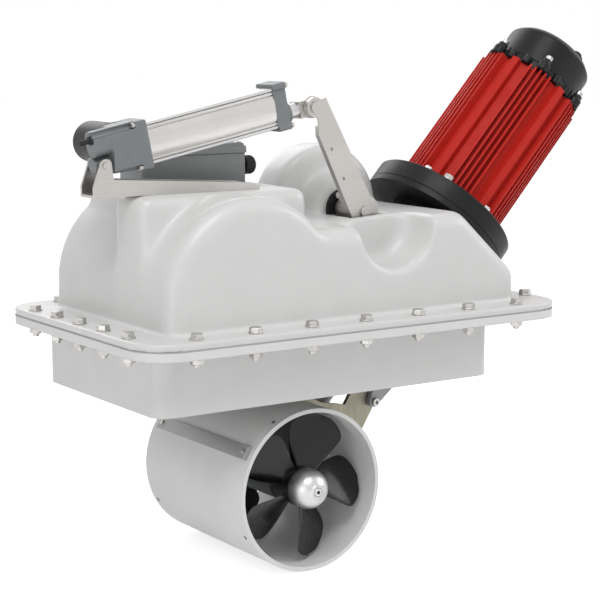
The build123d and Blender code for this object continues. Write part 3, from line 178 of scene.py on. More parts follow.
# Colours are linear and lengths in metres. Brushed metals give lines, the others a grain
finishes = {
    "moulded_white": {
        "colour": (0.70, 0.70, 0.695), "second": (0.65, 0.65, 0.645), "worn": (0.84, 0.84, 0.84),
        "rough": 0.36, "spread": 0.10, "metal": 0.0, "grain": 420, "grainDepth": 0.00014,
        "slow": 30, "slowShare": 1.6, "wear": 0.2, "edge": 0.0016, "coat": 0.22,
    },
    "frame_grey": {
        "colour": (0.76, 0.76, 0.757), "second": (0.70, 0.70, 0.695), "worn": (0.70, 0.70, 0.71),
        "rough": 0.46, "spread": 0.10, "metal": 0.0, "grain": 420, "grainDepth": 0.00014,
        "slow": 30, "slowShare": 1.4, "wear": 0.25, "edge": 0.0014, "coat": 0.1,
    },
    "tunnel_grey": {
        "colour": (0.80, 0.80, 0.795), "second": (0.74, 0.74, 0.735), "worn": (0.72, 0.72, 0.73),
        "rough": 0.44, "spread": 0.12, "metal": 0.0, "grain": 500, "grainDepth": 0.00010,
        "slow": 26, "slowShare": 1.5, "wear": 0.3, "edge": 0.0010, "coat": 0.1,
    },
    "gasket_grey": {
        "colour": (0.46, 0.46, 0.455), "second": (0.38, 0.38, 0.375), "worn": (0.3, 0.3, 0.3),
        "rough": 0.75, "spread": 0.1, "metal": 0.0, "grain": 1200, "grainDepth": 0.0001, "slow": 60,
        "slowShare": 0.5, "wear": 0.1, "edge": 0.0003, "coat": 0.0,
    },
    "stainless": {
        "colour": (0.52, 0.503, 0.482), "second": (0.47, 0.455, 0.436), "worn": (0.76, 0.75, 0.73),
        "rough": 0.26, "spread": 0.10, "metal": 1.0, "brush": 1400, "stretch": (0.02, 1.0, 1.0),
        "brushDepth": 0.000012, "wear": 0.5, "edge": 0.0006, "coat": 0.0,
    },
    "polished_steel": {
        "colour": (0.60, 0.60, 0.605), "second": (0.54, 0.54, 0.545), "worn": (0.8, 0.8, 0.8),
        "rough": 0.34, "spread": 0.07, "metal": 1.0, "brush": 1600, "stretch": (1.0, 0.05, 1.0),
        "brushDepth": 0.00001, "wear": 0.3, "edge": 0.0005, "coat": 0.0,
    },
    "bronze": {
        "colour": (0.55, 0.40, 0.20), "second": (0.42, 0.28, 0.14), "worn": (0.75, 0.6, 0.36),
        "rough": 0.34, "spread": 0.12, "metal": 1.0, "brush": 900, "stretch": (1.0, 0.05, 1.0),
        "brushDepth": 0.00002, "wear": 0.4, "edge": 0.0005, "coat": 0.0,
    },
    "anodised": {
        "colour": (0.60, 0.588, 0.572), "second": (0.56, 0.548, 0.532), "worn": (0.8, 0.79, 0.77),
        "rough": 0.30, "spread": 0.08, "metal": 1.0, "brush": 1700, "stretch": (0.02, 1.0, 0.12),
        "brushDepth": 0.000012, "wear": 0.4, "edge": 0.0005, "coat": 0.0,
    },
    "cap_grey": {
        "colour": (0.200, 0.212, 0.218), "second": (0.165, 0.175, 0.182),
        "worn": (0.42, 0.43, 0.44), "rough": 0.42, "spread": 0.10, "metal": 0.35, "grain": 700,
        "grainDepth": 0.00012, "slow": 60, "slowShare": 0.5, "wear": 0.5, "edge": 0.0008,
        "coat": 0.0,
    },
    "box_grey": {
        "colour": (0.320, 0.334, 0.342), "second": (0.285, 0.298, 0.306),
        "worn": (0.16, 0.16, 0.17), "rough": 0.50, "spread": 0.10, "metal": 0.0, "grain": 1100,
        "grainDepth": 0.00016, "slow": 60, "slowShare": 0.3, "wear": 0.4, "edge": 0.0009,
        "coat": 0.0,
    },
    "black_plastic": {
        "colour": (0.016, 0.016, 0.018), "second": (0.024, 0.024, 0.026),
        "worn": (0.09, 0.09, 0.09), "rough": 0.42, "spread": 0.14, "metal": 0.0, "grain": 1000,
        "grainDepth": 0.00012, "slow": 50, "slowShare": 0.4, "wear": 0.5, "edge": 0.0008,
        "shine": 0.28, "coat": 0.0,
    },
    "black_rubber": {
        "colour": (0.014, 0.014, 0.014), "second": (0.022, 0.021, 0.020),
        "worn": (0.06, 0.06, 0.06), "rough": 0.66, "spread": 0.12, "metal": 0.0, "grain": 1400,
        "grainDepth": 0.00014, "slow": 60, "slowShare": 0.4, "wear": 0.3, "edge": 0.0006,
        "shine": 0.24, "coat": 0.0,
    },
    "black_paint": {
        "colour": (0.0055, 0.006, 0.0065), "second": (0.009, 0.0095, 0.0105),
        "worn": (0.22, 0.22, 0.22), "rough": 0.38, "spread": 0.12, "metal": 0.0, "grain": 900,
        "grainDepth": 0.00012, "slow": 50, "slowShare": 0.5, "wear": 0.2, "edge": 0.0009,
        "shine": 0.2, "coat": 0.05,
    },
    "motor_red": {
        "colour": (0.57, 0.027, 0.018), "second": (0.48, 0.022, 0.015), "worn": (0.62, 0.05, 0.04),
        "rough": 0.44, "spread": 0.10, "metal": 0.0, "grain": 800, "grainDepth": 0.00006,
        "slow": 60, "slowShare": 0.6, "wear": 0.05, "edge": 0.0003, "shine": 0.14, "coat": 0.0,
    },
    "steel": {
        "colour": (0.42, 0.42, 0.43), "second": (0.32, 0.32, 0.33), "worn": (0.62, 0.62, 0.63),
        "rough": 0.36, "spread": 0.14, "metal": 1.0, "brush": 1000, "stretch": (1.0, 0.06, 1.0),
        "brushDepth": 0.00003, "wear": 0.4, "edge": 0.0005, "coat": 0.0,
    },
    "copper_core": {
        "colour": (0.50, 0.22, 0.11), "second": (0.30, 0.16, 0.10), "worn": (0.7, 0.4, 0.25),
        "rough": 0.42, "spread": 0.16, "metal": 0.9, "brush": 1200, "stretch": (1.0, 0.1, 1.0),
        "brushDepth": 0.00006, "wear": 0.3, "edge": 0.0005, "coat": 0.3,
    },
    "darkSteel": {
        "colour": (0.16, 0.16, 0.165), "second": (0.11, 0.11, 0.115), "worn": (0.4, 0.4, 0.4),
        "rough": 0.38, "spread": 0.12, "metal": 1.0, "brush": 900, "stretch": (1.0, 0.1, 1.0),
        "brushDepth": 0.00002, "wear": 0.4, "edge": 0.0003, "coat": 0.0,
    },
    "strapSteel": {
        "colour": (0.42, 0.42, 0.42), "second": (0.36, 0.36, 0.36), "worn": (0.6, 0.6, 0.6),
        "rough": 0.42, "spread": 0.12, "metal": 0.6, "brush": 1000, "stretch": (1.0, 0.05, 1.0),
        "brushDepth": 0.00003, "wear": 0.3, "edge": 0.0004, "coat": 0.0,
    },
    "armSteel": {
        "colour": (0.30, 0.285, 0.225), "second": (0.22, 0.21, 0.165), "worn": (0.52, 0.50, 0.44),
        "rough": 0.36, "spread": 0.14, "metal": 1.0, "brush": 1100, "stretch": (1.0, 1.0, 0.04),
        "brushDepth": 0.00003, "wear": 0.4, "edge": 0.0006, "coat": 0.0,
    },
    "bracketGrey": {
        "colour": (0.36, 0.37, 0.38), "second": (0.31, 0.32, 0.33), "worn": (0.6, 0.6, 0.61),
        "rough": 0.42, "spread": 0.10, "metal": 0.3, "grain": 700, "grainDepth": 0.0001, "slow": 60,
        "slowShare": 0.5, "wear": 0.4, "edge": 0.0008, "coat": 0.0,
    },
    "bootRed": {
        "colour": (0.50, 0.030, 0.030), "second": (0.42, 0.024, 0.024), "worn": (0.6, 0.12, 0.12),
        "rough": 0.50, "spread": 0.10, "metal": 0.0, "grain": 900, "grainDepth": 0.0001, "slow": 60,
        "slowShare": 0.4, "wear": 0.3, "edge": 0.0005, "shine": 0.3, "coat": 0.0,
    },
    "propeller_black": {
        "colour": (0.003, 0.003, 0.0035), "second": (0.005, 0.005, 0.006),
        "worn": (0.08, 0.08, 0.085), "rough": 0.24, "spread": 0.12, "metal": 0.0, "grain": 320,
        "grainDepth": 0.00008, "slow": 30, "slowShare": 1.0, "wear": 0.35, "edge": 0.0008,
        "shine": 0.3, "coat": 0.25,
    },
}


def placeGroup(tree, group, values, vector):
    node = tree.nodes.new("ShaderNodeGroup")
    node.node_tree = group
    tree.links.new(vector, node.inputs["Vector"])
    for label, value in values.items():
        node.inputs[label].default_value = value
    return node


def colourMix(tree, factor, first, second):
    node = tree.nodes.new("ShaderNodeMix")
    node.data_type = "RGBA"
    tree.links.new(factor, node.inputs["Factor"])
    for socket, value in ((node.inputs["A"], first), (node.inputs["B"], second)):
        if isinstance(value, bpy.types.NodeSocket):
            tree.links.new(value, socket)
        else:
            socket.default_value = (*value, 1.0)
    return node.outputs["Result"]


# Values that every finish has in common
finishShared = {"smudgeScale": 18.0, "coatRough": 0.12, "shine": 0.5, "bevelSamples": 4}


def buildFinish(name, look):
    material = bpy.data.materials.new(name + "Finish")
    material.use_nodes = True
    tree = material.node_tree
    shader = tree.nodes["Principled BSDF"]
    where = tree.nodes.new("ShaderNodeTexCoord").outputs["Object"]
    smudges = placeGroup(tree, smudgeGroup, {"Scale": finishShared["smudgeScale"]}, where).outputs["Mask"]
    wear = placeGroup(tree, edgeGroup, {"Amount": look["wear"]}, where).outputs["Mask"]
    if "brush" in look:
        values = {"Scale": look["brush"], "Stretch": look["stretch"]}
        marks = placeGroup(tree, brushGroup, values, where).outputs
        height, cloud, depth = marks["Height"], marks["Lines"], look["brushDepth"]
    else:
        values = {"Scale": look["grain"], "Slow Scale": look["slow"], "Slow Share": look["slowShare"]}
        marks = placeGroup(tree, grainGroup, values, where).outputs
        height, cloud, depth = marks["Height"], marks["Cloud"], look["grainDepth"]
    body = colourMix(tree, cloud, look["colour"], look["second"])
    tree.links.new(colourMix(tree, wear, body, look["worn"]), shader.inputs["Base Color"])
    gloss = mathNode(tree, "MULTIPLY_ADD", smudges, look["spread"], look["rough"])
    roughness = mathNode(tree, "MULTIPLY_ADD", cloud, look["spread"] * 0.5, gloss, clamp=True)
    tree.links.new(roughness, shader.inputs["Roughness"])
    shader.inputs["Metallic"].default_value = look["metal"]
    shader.inputs["Coat Weight"].default_value = look["coat"]
    shader.inputs["Coat Roughness"].default_value = finishShared["coatRough"]
    shader.inputs["Specular IOR Level"].default_value = look.get("shine", finishShared["shine"])
    softEdge = tree.nodes.new("ShaderNodeBevel")
    softEdge.samples = finishShared["bevelSamples"]
    softEdge.inputs["Radius"].default_value = look["edge"]
    bump = tree.nodes.new("ShaderNodeBump")
    bump.inputs["Strength"].default_value = 1.0
    bump.inputs["Distance"].default_value = depth
    tree.links.new(height, bump.inputs["Height"])
    tree.links.new(softEdge.outputs["Normal"], bump.inputs["Normal"])
    tree.links.new(bump.outputs["Normal"], shader.inputs["Normal"])
    return material


materials = {name: buildFinish(name, look) for name, look in finishes.items()}
print("stage: finishes made,", len(materials))


def slotOf(material):
    return material.name.split(".")[0] if material else ""


# Every CAD node takes the finish of its slot
for name, piece in nodes.items():
    for place in piece.material_slots:
        slot = slotOf(place.material)
        if slot in materials:
            place.material = materials[slot]
        else:
            print("no finish for", name, slot)


# Pieces of the stainless slot that are darker or duller than the rest
darkerPieces = {"swing_arms": "armSteel", "tunnel_saddle": "armSteel", "tunnel_strap": "strapSteel"}
for name, finish in darkerPieces.items():
    for place in nodes[name].material_slots:
        place.material = materials[finish]


def applyModifiers(piece):
    # Leaves the piece with its final mesh and no modifier
    bpy.context.view_layer.update()
    shaped = piece.evaluated_get(bpy.context.evaluated_depsgraph_get())
    mesh = bpy.data.meshes.new_from_object(shaped)
    old = piece.data
    piece.modifiers.clear()
    piece.data = mesh
    bpy.data.meshes.remove(old)


# The flange and the lever's seat stay crisp, and so does the inner wall that the link runs along
shellLook = {
    "voxel": 0.0023, "passes": 46, "strength": 0.7,
    "flangeTop": 0.0125, "flangeFade": 0.012,
    "leverAxis": (0.0719, 0.1208), "seatRadius": 0.0275, "seatFade": 0.006,
    "roomRadius": 0.0665, "roomDepth": (0.058, 0.0708),
}


def smoothShell():
    # The moulding as one skin: its hollows and shoulders run into each other in soft curves
    look = shellLook
    shell = bpy.data.objects.new("mouldedHousing", nodes["housing"].data.copy())
    bpy.context.scene.collection.objects.link(shell)
    remesh = shell.modifiers.new("skin", "REMESH")
    remesh.mode = "VOXEL"
    remesh.voxel_size = look["voxel"]
    applyModifiers(shell)
    group = shell.vertex_groups.new(name="soft")
    axisX, axisZ = look["leverAxis"]
    near, far = look["roomDepth"]
    for vertex in shell.data.vertices:
        place = vertex.co
        away = math.hypot(place.x - axisX, place.z - axisZ)
        weight = min(1.0, max(0.0, (place.z - look["flangeTop"]) / look["flangeFade"]))
        weight *= min(1.0, max(0.0, (away - look["seatRadius"]) / look["seatFade"]))
        if near < place.y < far and away < look["roomRadius"]:
            weight = 0.0
        group.add([vertex.index], weight, "REPLACE")
    soften = shell.modifiers.new("soften", "SMOOTH")
    soften.iterations = look["passes"]
    soften.factor = look["strength"]
    soften.vertex_group = "soft"
    applyModifiers(shell)
    shell.data.shade_smooth()
    shell.data.materials.clear()
    shell.data.materials.append(materials["moulded_white"])
    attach(shell, "housing_unit")
    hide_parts("housing")
    print("stage: housing skin,", len(shell.data.polygons), "faces")


smoothShell()


# X and Z of the tunnel's axis, then the frames of the drive line and of the actuator, in metres
tunnelAxis = (-0.04006, -0.19737)
driveFrame = {"origin": (tunnelAxis[0], 0.0, tunnelAxis[1]), "angle": 47.42}
actuatorFrame = {"origin": (-0.277, -0.044, 0.191), "angle": 11.59}


def localFrame(look, sideways, turned):
    # Axes across, second and along, with the signs of the first two
    angle = math.radians(look["angle"])
    along = Vector((math.cos(angle), 0.0, math.sin(angle)))
    across = Vector((0.0, sideways, 0.0))
    second = Vector((math.sin(angle), 0.0, -math.cos(angle))) * turned
    matrix = Matrix((across, second, along)).transposed().to_4x4()
    return Matrix.Translation(look["origin"]) @ matrix


onDrive = localFrame(driveFrame, -1.0, 1.0)
onActuator = localFrame(actuatorFrame, 1.0, -1.0)


def ringPoints(radius, height, count, centre=(0.0, 0.0)):
    steps = [2.0 * math.pi * index / count for index in range(count)]
    return [(centre[0] + radius * math.cos(angle), centre[1] + radius * math.sin(angle), height)
            for angle in steps]


def skinLoops(form, loops, matrix):
    # Walls between loops of equal length, with a face on each end
    rings = [[form.verts.new(matrix @ Vector(point)) for point in loop] for loop in loops]
    for first, second in zip(rings, rings[1:]):
        count = len(first)
        for index in range(count):
            after = (index + 1) % count
            form.faces.new((first[index], first[after], second[after], second[index]))
    form.faces.new(list(reversed(rings[0])))
    form.faces.new(rings[-1])


def turnedForm(form, profile, matrix, count, centre=(0.0, 0.0)):
    # Radius and height pairs, turned round the third axis
    skinLoops(form, [ringPoints(radius, height, count, centre) for radius, height in profile], matrix)


# Shares of half the flats and of the head's height
hexLook = {"endRadius": 0.94, "cornerDrop": 0.20, "flatDrop": 0.05}


def hexForm(form, matrix, acrossFlats, start, end, centre, lowChamfer, turn):
    # Hexagon whose corners are turned off in an arc, as on a real bolt head
    flat = acrossFlats / 2.0
    corner = flat / math.cos(math.radians(30.0))
    rise = end - start

    def loop(cornerHeight, flatHeight, cornerRadius, flatRadius):
        points = []
        for index in range(12):
            isCorner = index % 2 == 0
            radius = cornerRadius if isCorner else flatRadius
            height = cornerHeight if isCorner else flatHeight
            angle = turn + math.radians(30.0 * index)
            across = centre[0] + radius * math.cos(angle)
            second = centre[1] + radius * math.sin(angle)
            points.append((across, second, height))
        return points

    endRadius = flat * hexLook["endRadius"]
    cornerDrop, flatDrop = rise * hexLook["cornerDrop"], rise * hexLook["flatDrop"]
    loops = []
    if lowChamfer:
        loops.append(loop(start, start, endRadius, endRadius))
        loops.append(loop(start + cornerDrop, start + flatDrop, corner, flat))
    else:
        loops.append(loop(start, start, corner, flat))
    loops.append(loop(end - cornerDrop, end - flatDrop, corner, flat))
    loops.append(loop(end, end, endRadius, endRadius))
    skinLoops(form, loops, matrix)


def finishPiece(form, name, finish, body, stands=(), sharp=32.0):
    bmesh.ops.recalc_face_normals(form, faces=form.faces)
    mesh = bpy.data.meshes.new(name)
    form.to_mesh(mesh)
    form.free()
    piece = bpy.data.objects.new(name, mesh)
    bpy.context.scene.collection.objects.link(piece)
    mesh.shade_smooth()
    mesh.set_sharp_from_angle(angle=math.radians(sharp))
    mesh.materials.append(materials[finish])
    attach(piece, body)
    if stands:
        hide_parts(*stands)
    return piece


seamLook = {
    "rowInset": 0.0177, "rowSpan": 0.452, "rowCount": 7,
    "sideInset": 0.0127, "sideSpan": 0.230, "sideCount": 5,
    "halfLength": 0.29525, "halfWidth": 0.1822,
    "topFace": 0.0083, "underFace": -0.011,
    "washerRadius": 0.00825, "washerHeight": 0.0016,
    "flats": 0.013, "headHeight": 0.0053, "nutHeight": 0.0065,
    "threadRadius": 0.0039, "threadEnd": 0.0035,
    "turnStep": 17.0, "nutTurn": 0.4,
}


def seamPlaces():
    look = seamLook
    places = []
    for side in (-1, 1):
        for index in range(look["rowCount"]):
            x = look["rowSpan"] * (index / (look["rowCount"] - 1) - 0.5)
            places.append((x, side * (look["halfWidth"] - look["rowInset"])))
        for index in range(look["sideCount"]):
            y = look["sideSpan"] * (index / (look["sideCount"] - 1) - 0.5)
            places.append((side * (look["halfLength"] - look["sideInset"]), y))
    return places


def buildSeamBolts():
    look = seamLook
    form = bmesh.new()
    still = Matrix.Identity(4)
    washer, tall = look["washerRadius"], look["washerHeight"]
    for number, centre in enumerate(seamPlaces()):
        top, under = look["topFace"], look["underFace"]
        turn = math.radians(look["turnStep"] * number)
        for base in (top, under - tall):
            profile = ((washer - 0.0003, base), (washer, base + 0.0003),
                       (washer, base + tall - 0.0004), (washer - 0.0004, base + tall))
            turnedForm(form, profile, still, 28, centre)
        head = top + tall
        hexForm(form, still, look["flats"], head, head + look["headHeight"], centre, False, turn)
        nut = under - tall
        nutBase = nut - look["nutHeight"]
        hexForm(form, still, look["flats"], nutBase, nut, centre, True, turn + look["nutTurn"])
        shank, low = look["threadRadius"], nutBase - look["threadEnd"]
        profile = ((shank - 0.0008, low), (shank, low + 0.0009), (shank, nut - 0.001))
        turnedForm(form, profile, still, 20, centre)
    finishPiece(form, "seamBolts", "stainless", "housing_unit", ("flange_fasteners",), 26.0)


# A rail point holds how far it stands out from the half width, and up from the tube's edge
tubeLook = {
    "start": 0.0581, "end": 0.2279, "below": -0.0128, "above": 0.0348,
    "half": 0.0145, "bulge": 0.0024, "railHeight": 0.0094,
    "rail": ((-0.0012, 0.0), (0.0, 0.0008), (0.0003, 0.0018), (0.0, 0.0028), (-0.0012, 0.0032),
             (-0.0012, 0.0040), (0.0, 0.0044), (0.0006, 0.0058), (0.0, 0.0072), (-0.0016, 0.0076),
             (-0.0016, 0.0086), (-0.0002, 0.0090)),
}


def buildTube():
    # Drawn profile: bowed sides between two grooved rails, flat top and bottom
    look = tubeLook
    low, high, half = look["below"], look["above"], look["half"]
    side = [(half + out, low + up) for out, up in look["rail"]]
    railPoints = len(side)
    middle, reach = (low + high) / 2, (high - low) / 2 - look["railHeight"]
    for step in range(17):
        share = step / 8.0 - 1.0
        side.append((half + look["bulge"] * (1.0 - abs(share) ** 2.6), middle + reach * share))
    side += [(x, low + high - y) for x, y in reversed(side[:railPoints])]
    whole = side + [(-x, y) for x, y in reversed(side)]
    form = bmesh.new()
    skinLoops(form, [[(x, y, s) for x, y in whole] for s in (look["start"], look["end"])], onActuator)
    finishPiece(form, "tubeExtrusion", "anodised", "actuator", ("actuator_tube",), 24.0)


noseLook = {"radius": 0.0239, "base": 0.1002, "tip": 0.1272, "straight": 0.0045,
            "flat": 0.0088, "screw": 0.0049, "socket": 0.0024}


def shaftFrame(side):
    # Third axis along the propeller shaft, out of the near or the far mouth
    across = Vector((1.0, 0.0, 0.0))
    along = Vector((0.0, side, 0.0))
    matrix = Matrix((across, along.cross(across), along)).transposed().to_4x4()
    return Matrix.Translation((tunnelAxis[0], 0.0, tunnelAxis[1])) @ matrix


def buildNose(name, node, body, side):
    # Turned nose: straight skirt, full round, small flat with a groove round the screw
    look = noseLook
    matrix = shaftFrame(side)
    radius, tip = look["radius"], look["tip"]
    crown = tip - look["base"] - look["straight"]
    profile = [(radius - 0.0006, look["base"]), (radius, look["base"] + 0.0006)]
    for step in range(15):
        angle = math.radians(6.0 * step)
        profile.append((radius * math.cos(angle), tip - crown + crown * math.sin(angle)))
    profile = [pair for pair in profile if pair[0] > look["flat"]]
    screw = look["screw"]
    profile += [(look["flat"], tip - 0.0009), (0.0080, tip - 0.0007), (0.0078, tip - 0.0014),
                (0.0068, tip - 0.0014), (0.0066, tip - 0.0007), (screw + 0.0006, tip - 0.0007),
                (screw + 0.0005, tip - 0.0040)]
    form = bmesh.new()
    turnedForm(form, profile, matrix, 56)
    profile = ((screw, tip - 0.0045), (screw, tip - 0.0009), (screw - 0.0004, tip - 0.0005),
               (0.0029, tip - 0.0005), (0.0027, tip - 0.0008))
    turnedForm(form, profile, matrix, 30)
    finishPiece(form, name, "polished_steel", body, (node,), 30.0)
    # The screw's hex socket is a thin black hexagon just above the head's dip: painted shade in place of
    # a deep hole
    socketShade = bmesh.new()
    socket = look["socket"]
    skinLoops(socketShade, [ringPoints(socket, tip - 0.00078, 6), ringPoints(socket, tip - 0.0007, 6)], matrix)
    finishPiece(socketShade, name + "Socket", "black_paint", body)


# A row holds the share of the blade's height, chord, sweep in degrees and pitch in degrees
bladeLook = {
    "station": 0.085, "count": 5, "firstAngle": 72.0,
    "root": 0.021, "tip": 0.0878, "rootThick": 0.0085, "tipThick": 0.0020, "camber": 0.0016,
    "roundFrom": 0.72, "roundOver": 0.295,
    "rows": ((0.0, 0.027, 0.0, 34.0), (0.3, 0.044, 0.0, 30.0), (0.6, 0.060, -2.0, 26.0),
             (0.83, 0.065, -4.0, 24.0), (1.0, 0.052, -6.0, 22.0)),
    "hubRadius": 0.0239, "hubStart": 0.0622, "hubEnd": 0.0998,
    "steps": 30, "around": 30,
}


def smoothRow(rows, share):
    # Values between the given rows on a curve through all of them
    last = len(rows) - 1
    index = max(0, min(last - 1, sum(1 for row in rows if row[0] <= share) - 1))
    before, first = rows[max(0, index - 1)], rows[index]
    second, after = rows[index + 1], rows[min(last, index + 2)]
    part = (share - first[0]) / (second[0] - first[0])
    squared, cubed = part * part, part ** 3
    values = []
    for column in range(1, len(first)):
        slopeIn = (second[column] - before[column]) / (second[0] - before[0]) * (second[0] - first[0])
        slopeOut = (after[column] - first[column]) / (after[0] - first[0]) * (second[0] - first[0])
        values.append((2 * cubed - 3 * squared + 1) * first[column]
                      + (cubed - 2 * squared + part) * slopeIn
                      + (3 * squared - 2 * cubed) * second[column]
                      + (cubed - squared) * slopeOut)
    return values


def buildBlades(name, node, body, side):
    # Blades wrapped round the shaft, thick at the hub and thin at the round tip
    look = bladeLook
    form = bmesh.new()
    centreX, centreZ = tunnelAxis
    still = Matrix.Identity(4)
    for number in range(look["count"]):
        loops = []
        for step in range(look["steps"] + 1):
            share = (step / look["steps"]) ** 0.85
            chord, sweep, pitch = smoothRow(look["rows"], share)
            if share > look["roundFrom"]:
                past = (share - look["roundFrom"]) / look["roundOver"]
                chord *= math.sqrt(max(0.0, 1.0 - past ** 2.6))
            radius = look["root"] + share * (look["tip"] - look["root"])
            taper = (look["rootThick"] - look["tipThick"]) * (1.0 - share) ** 1.4
            thick = look["tipThick"] + taper
            turn = math.radians(look["firstAngle"] + 360.0 / look["count"] * number + sweep)
            lean = -math.radians(pitch) * side
            loop = []
            for index in range(look["around"]):
                angle = 2.0 * math.pi * index / look["around"]
                along = 0.5 * chord * math.cos(angle)
                rise = math.sin(angle)
                bow = side * look["camber"] * (1.0 - math.cos(angle) ** 2)
                depth = rise * 0.5 * (thick * abs(rise) ** 0.35) - bow
                spin = turn + (along * math.cos(lean) - depth * math.sin(lean)) / radius
                loop.append((centreX + radius * math.cos(spin),
                             side * look["station"] + along * math.sin(lean) + depth * math.cos(lean),
                             centreZ + radius * math.sin(spin)))
            loops.append(loop)
        skinLoops(form, loops, still)
    radius, start, end = look["hubRadius"], look["hubStart"], look["hubEnd"]
    profile = ((radius - 0.0015, start), (radius, start + 0.0015), (radius, end - 0.0026),
               (radius - 0.0009, end - 0.0020), (radius - 0.0009, end - 0.0009),
               (radius - 0.0001, end - 0.0004), (radius - 0.0006, end))
    turnedForm(form, profile, shaftFrame(side), 64)
    finishPiece(form, name, "propeller_black", body, (node,), 38.0)


# A loop holds its height, its share of the radius, and whether ribs are cut in it
glandLook = {
    "face": -0.0619, "centre": (0.003, 0.179), "radius": 0.0114, "ribs": 16, "ribFloor": 0.93,
    "loops": ((0.0, 0.92, False), (0.0005, 1.0, False), (0.0030, 1.0, False), (0.0034, 0.99, True),
              (0.0098, 0.99, True), (0.0108, 0.97, False), (0.0128, 0.88, False),
              (0.0143, 0.72, False), (0.0149, 0.52, False), (0.0149, 0.40, False),
              (0.0128, 0.36, False)),
}


def buildGland():
    # Ribbed cap nut of the box's cable gland
    look = glandLook
    matrix = Matrix(((0, 0, 1), (1, 0, 0), (0, 1, 0))).to_4x4()
    matrix = Matrix.Translation((look["face"], *look["centre"])) @ matrix
    loops = []
    count = look["ribs"] * 4
    for height, radius, ribbed in look["loops"]:
        loop = []
        for index in range(count):
            dip = look["ribFloor"] if ribbed and index % 4 < 2 else 1.0
            angle = 2.0 * math.pi * index / count
            loop.append((look["radius"] * radius * dip * math.cos(angle),
                         look["radius"] * radius * dip * math.sin(angle), height))
        loops.append(loop)
    form = bmesh.new()
    skinLoops(form, loops, matrix)
    finishPiece(form, "glandNut", "black_plastic", "housing_unit", ("cable_gland",), 40.0)


# The lid's first three loops go up from the split, the others down from the top
boxLook = {
    "x": (-0.205, -0.062), "y": (-0.010, 0.050), "z": (0.156, 0.206),
    "lid": 0.012, "inset": 0.0016, "round": 0.005,
    "lidEdge": ((0.0001, 0.0012), (0.0006, 0.0002), (0.0012, 0.0)),
    "lidPanel": ((0.0052, 0.0002), (0.0042, 0.0006), (0.0032, 0.0016), (0.0028, 0.0030),
                 (0.0008, 0.0034), (0.0002, 0.0038), (0.0001, 0.0046)),
}


def roundedLoop(x, y, radius, height, inset=0.0, steps=6):
    points = []
    corners = ((x[1], y[1], 0), (x[0], y[1], 90), (x[0], y[0], 180), (x[1], y[0], 270))
    for cornerX, cornerY, first in corners:
        middleX = cornerX - math.copysign(radius, cornerX - (x[0] + x[1]) / 2)
        middleY = cornerY - math.copysign(radius, cornerY - (y[0] + y[1]) / 2)
        for step in range(steps + 1):
            angle = math.radians(first + 90.0 * step / steps)
            reach = radius - inset
            points.append((middleX + reach * math.cos(angle),
                           middleY + reach * math.sin(angle), height))
    return points


def buildBox():
    # Body drawn in under an overlapping lid with a raised panel, as on a sealed enclosure
    look = boxLook
    x, y, (base, top) = look["x"], look["y"], look["z"]
    split = top - look["lid"]
    still = Matrix.Identity(4)
    form = bmesh.new()
    rows = ((base, 0.0006), (base + 0.0008, 0.0), (split - 0.0006, 0.0003), (split, 0.0010))
    skinLoops(form, [roundedLoop(x, y, look["round"], height, look["inset"] + more)
                     for height, more in rows], still)
    finishPiece(form, "boxBody", "box_grey", "housing_unit", ("control_box",), 40.0)
    form = bmesh.new()
    rows = [(split + up, more) for up, more in look["lidEdge"]]
    rows += [(top - down, more) for down, more in look["lidPanel"]]
    skinLoops(form, [roundedLoop(x, y, look["round"], height, more) for height, more in rows], still)
    finishPiece(form, "boxLid", "box_grey", "housing_unit", ("control_box_lid",), 34.0)


tieRodLook = {"across": 0.0142, "ups": (-0.0110, 0.0330), "radius": 0.0019,
              "start": 0.0585, "end": 0.2278}


def buildTieRods():
    # The corner rods that draw the two caps against the tube
    look = tieRodLook
    form = bmesh.new()
    profile = ((look["radius"], look["start"]), (look["radius"], look["end"]))
    for side, up in product((-1, 1), look["ups"]):
        turnedForm(form, profile, onActuator, 14, (side * look["across"], up))
    finishPiece(form, "tieRods", "polished_steel", "actuator", (), 30.0)


tunnelScrewLook = {"radius": 0.0974, "head": 0.0024, "angles": (28.5, 118.5, 208.5, 298.5),
                   "stations": (-0.1015, 0.1030)}


def buildTunnelScrews():
    # Small countersunk screws that hold the inner rings of the tunnel
    look = tunnelScrewLook
    form = bmesh.new()
    head = look["head"]
    profile = ((head + 0.0004, -0.0004), (head + 0.0002, 0.0003), (head - 0.0004, 0.0005),
               (head * 0.45, 0.0005), (head * 0.40, 0.0001))
    for angle, station in product(look["angles"], look["stations"]):
        turn = math.radians(angle)
        out = Vector((math.cos(turn), 0.0, math.sin(turn)))
        across = Vector((0.0, 1.0, 0.0))
        matrix = Matrix((across, out.cross(across), out)).transposed().to_4x4()
        start = Vector((tunnelAxis[0], station, tunnelAxis[1])) + out * look["radius"]
        turnedForm(form, profile, Matrix.Translation(start) @ matrix, 18)
    finishPiece(form, "tunnelScrews", "darkSteel", "leg", (), 30.0)


# Radius and height above the end bell of each ring of a boot
bootLook = {
    "circle": 0.039, "face": 0.6835,
    "boots": (("redBoot", 251.0, "bootRed", ("power_studs",)),
              ("blackBoot", 12.0, "black_rubber", ())),
    "rings": ((0.0098, 0.0), (0.0102, 0.0007), (0.0100, 0.0032), (0.0090, 0.0045),
              (0.0066, 0.0056), (0.0062, 0.0077), (0.0056, 0.0084), (0.0048, 0.0087)),
}


def buildBoots():
    # Rubber boots over the cable studs on the motor's end bell
    look = bootLook
    profile = [(radius, look["face"] + height) for radius, height in look["rings"]]
    for name, angle, finish, stands in look["boots"]:
        turn = math.radians(angle)
        centre = (look["circle"] * math.cos(turn), look["circle"] * math.sin(turn))
        form = bmesh.new()
        turnedForm(form, profile, onDrive, 30, centre)
        finishPiece(form, name, finish, "housing_unit", stands, 40.0)


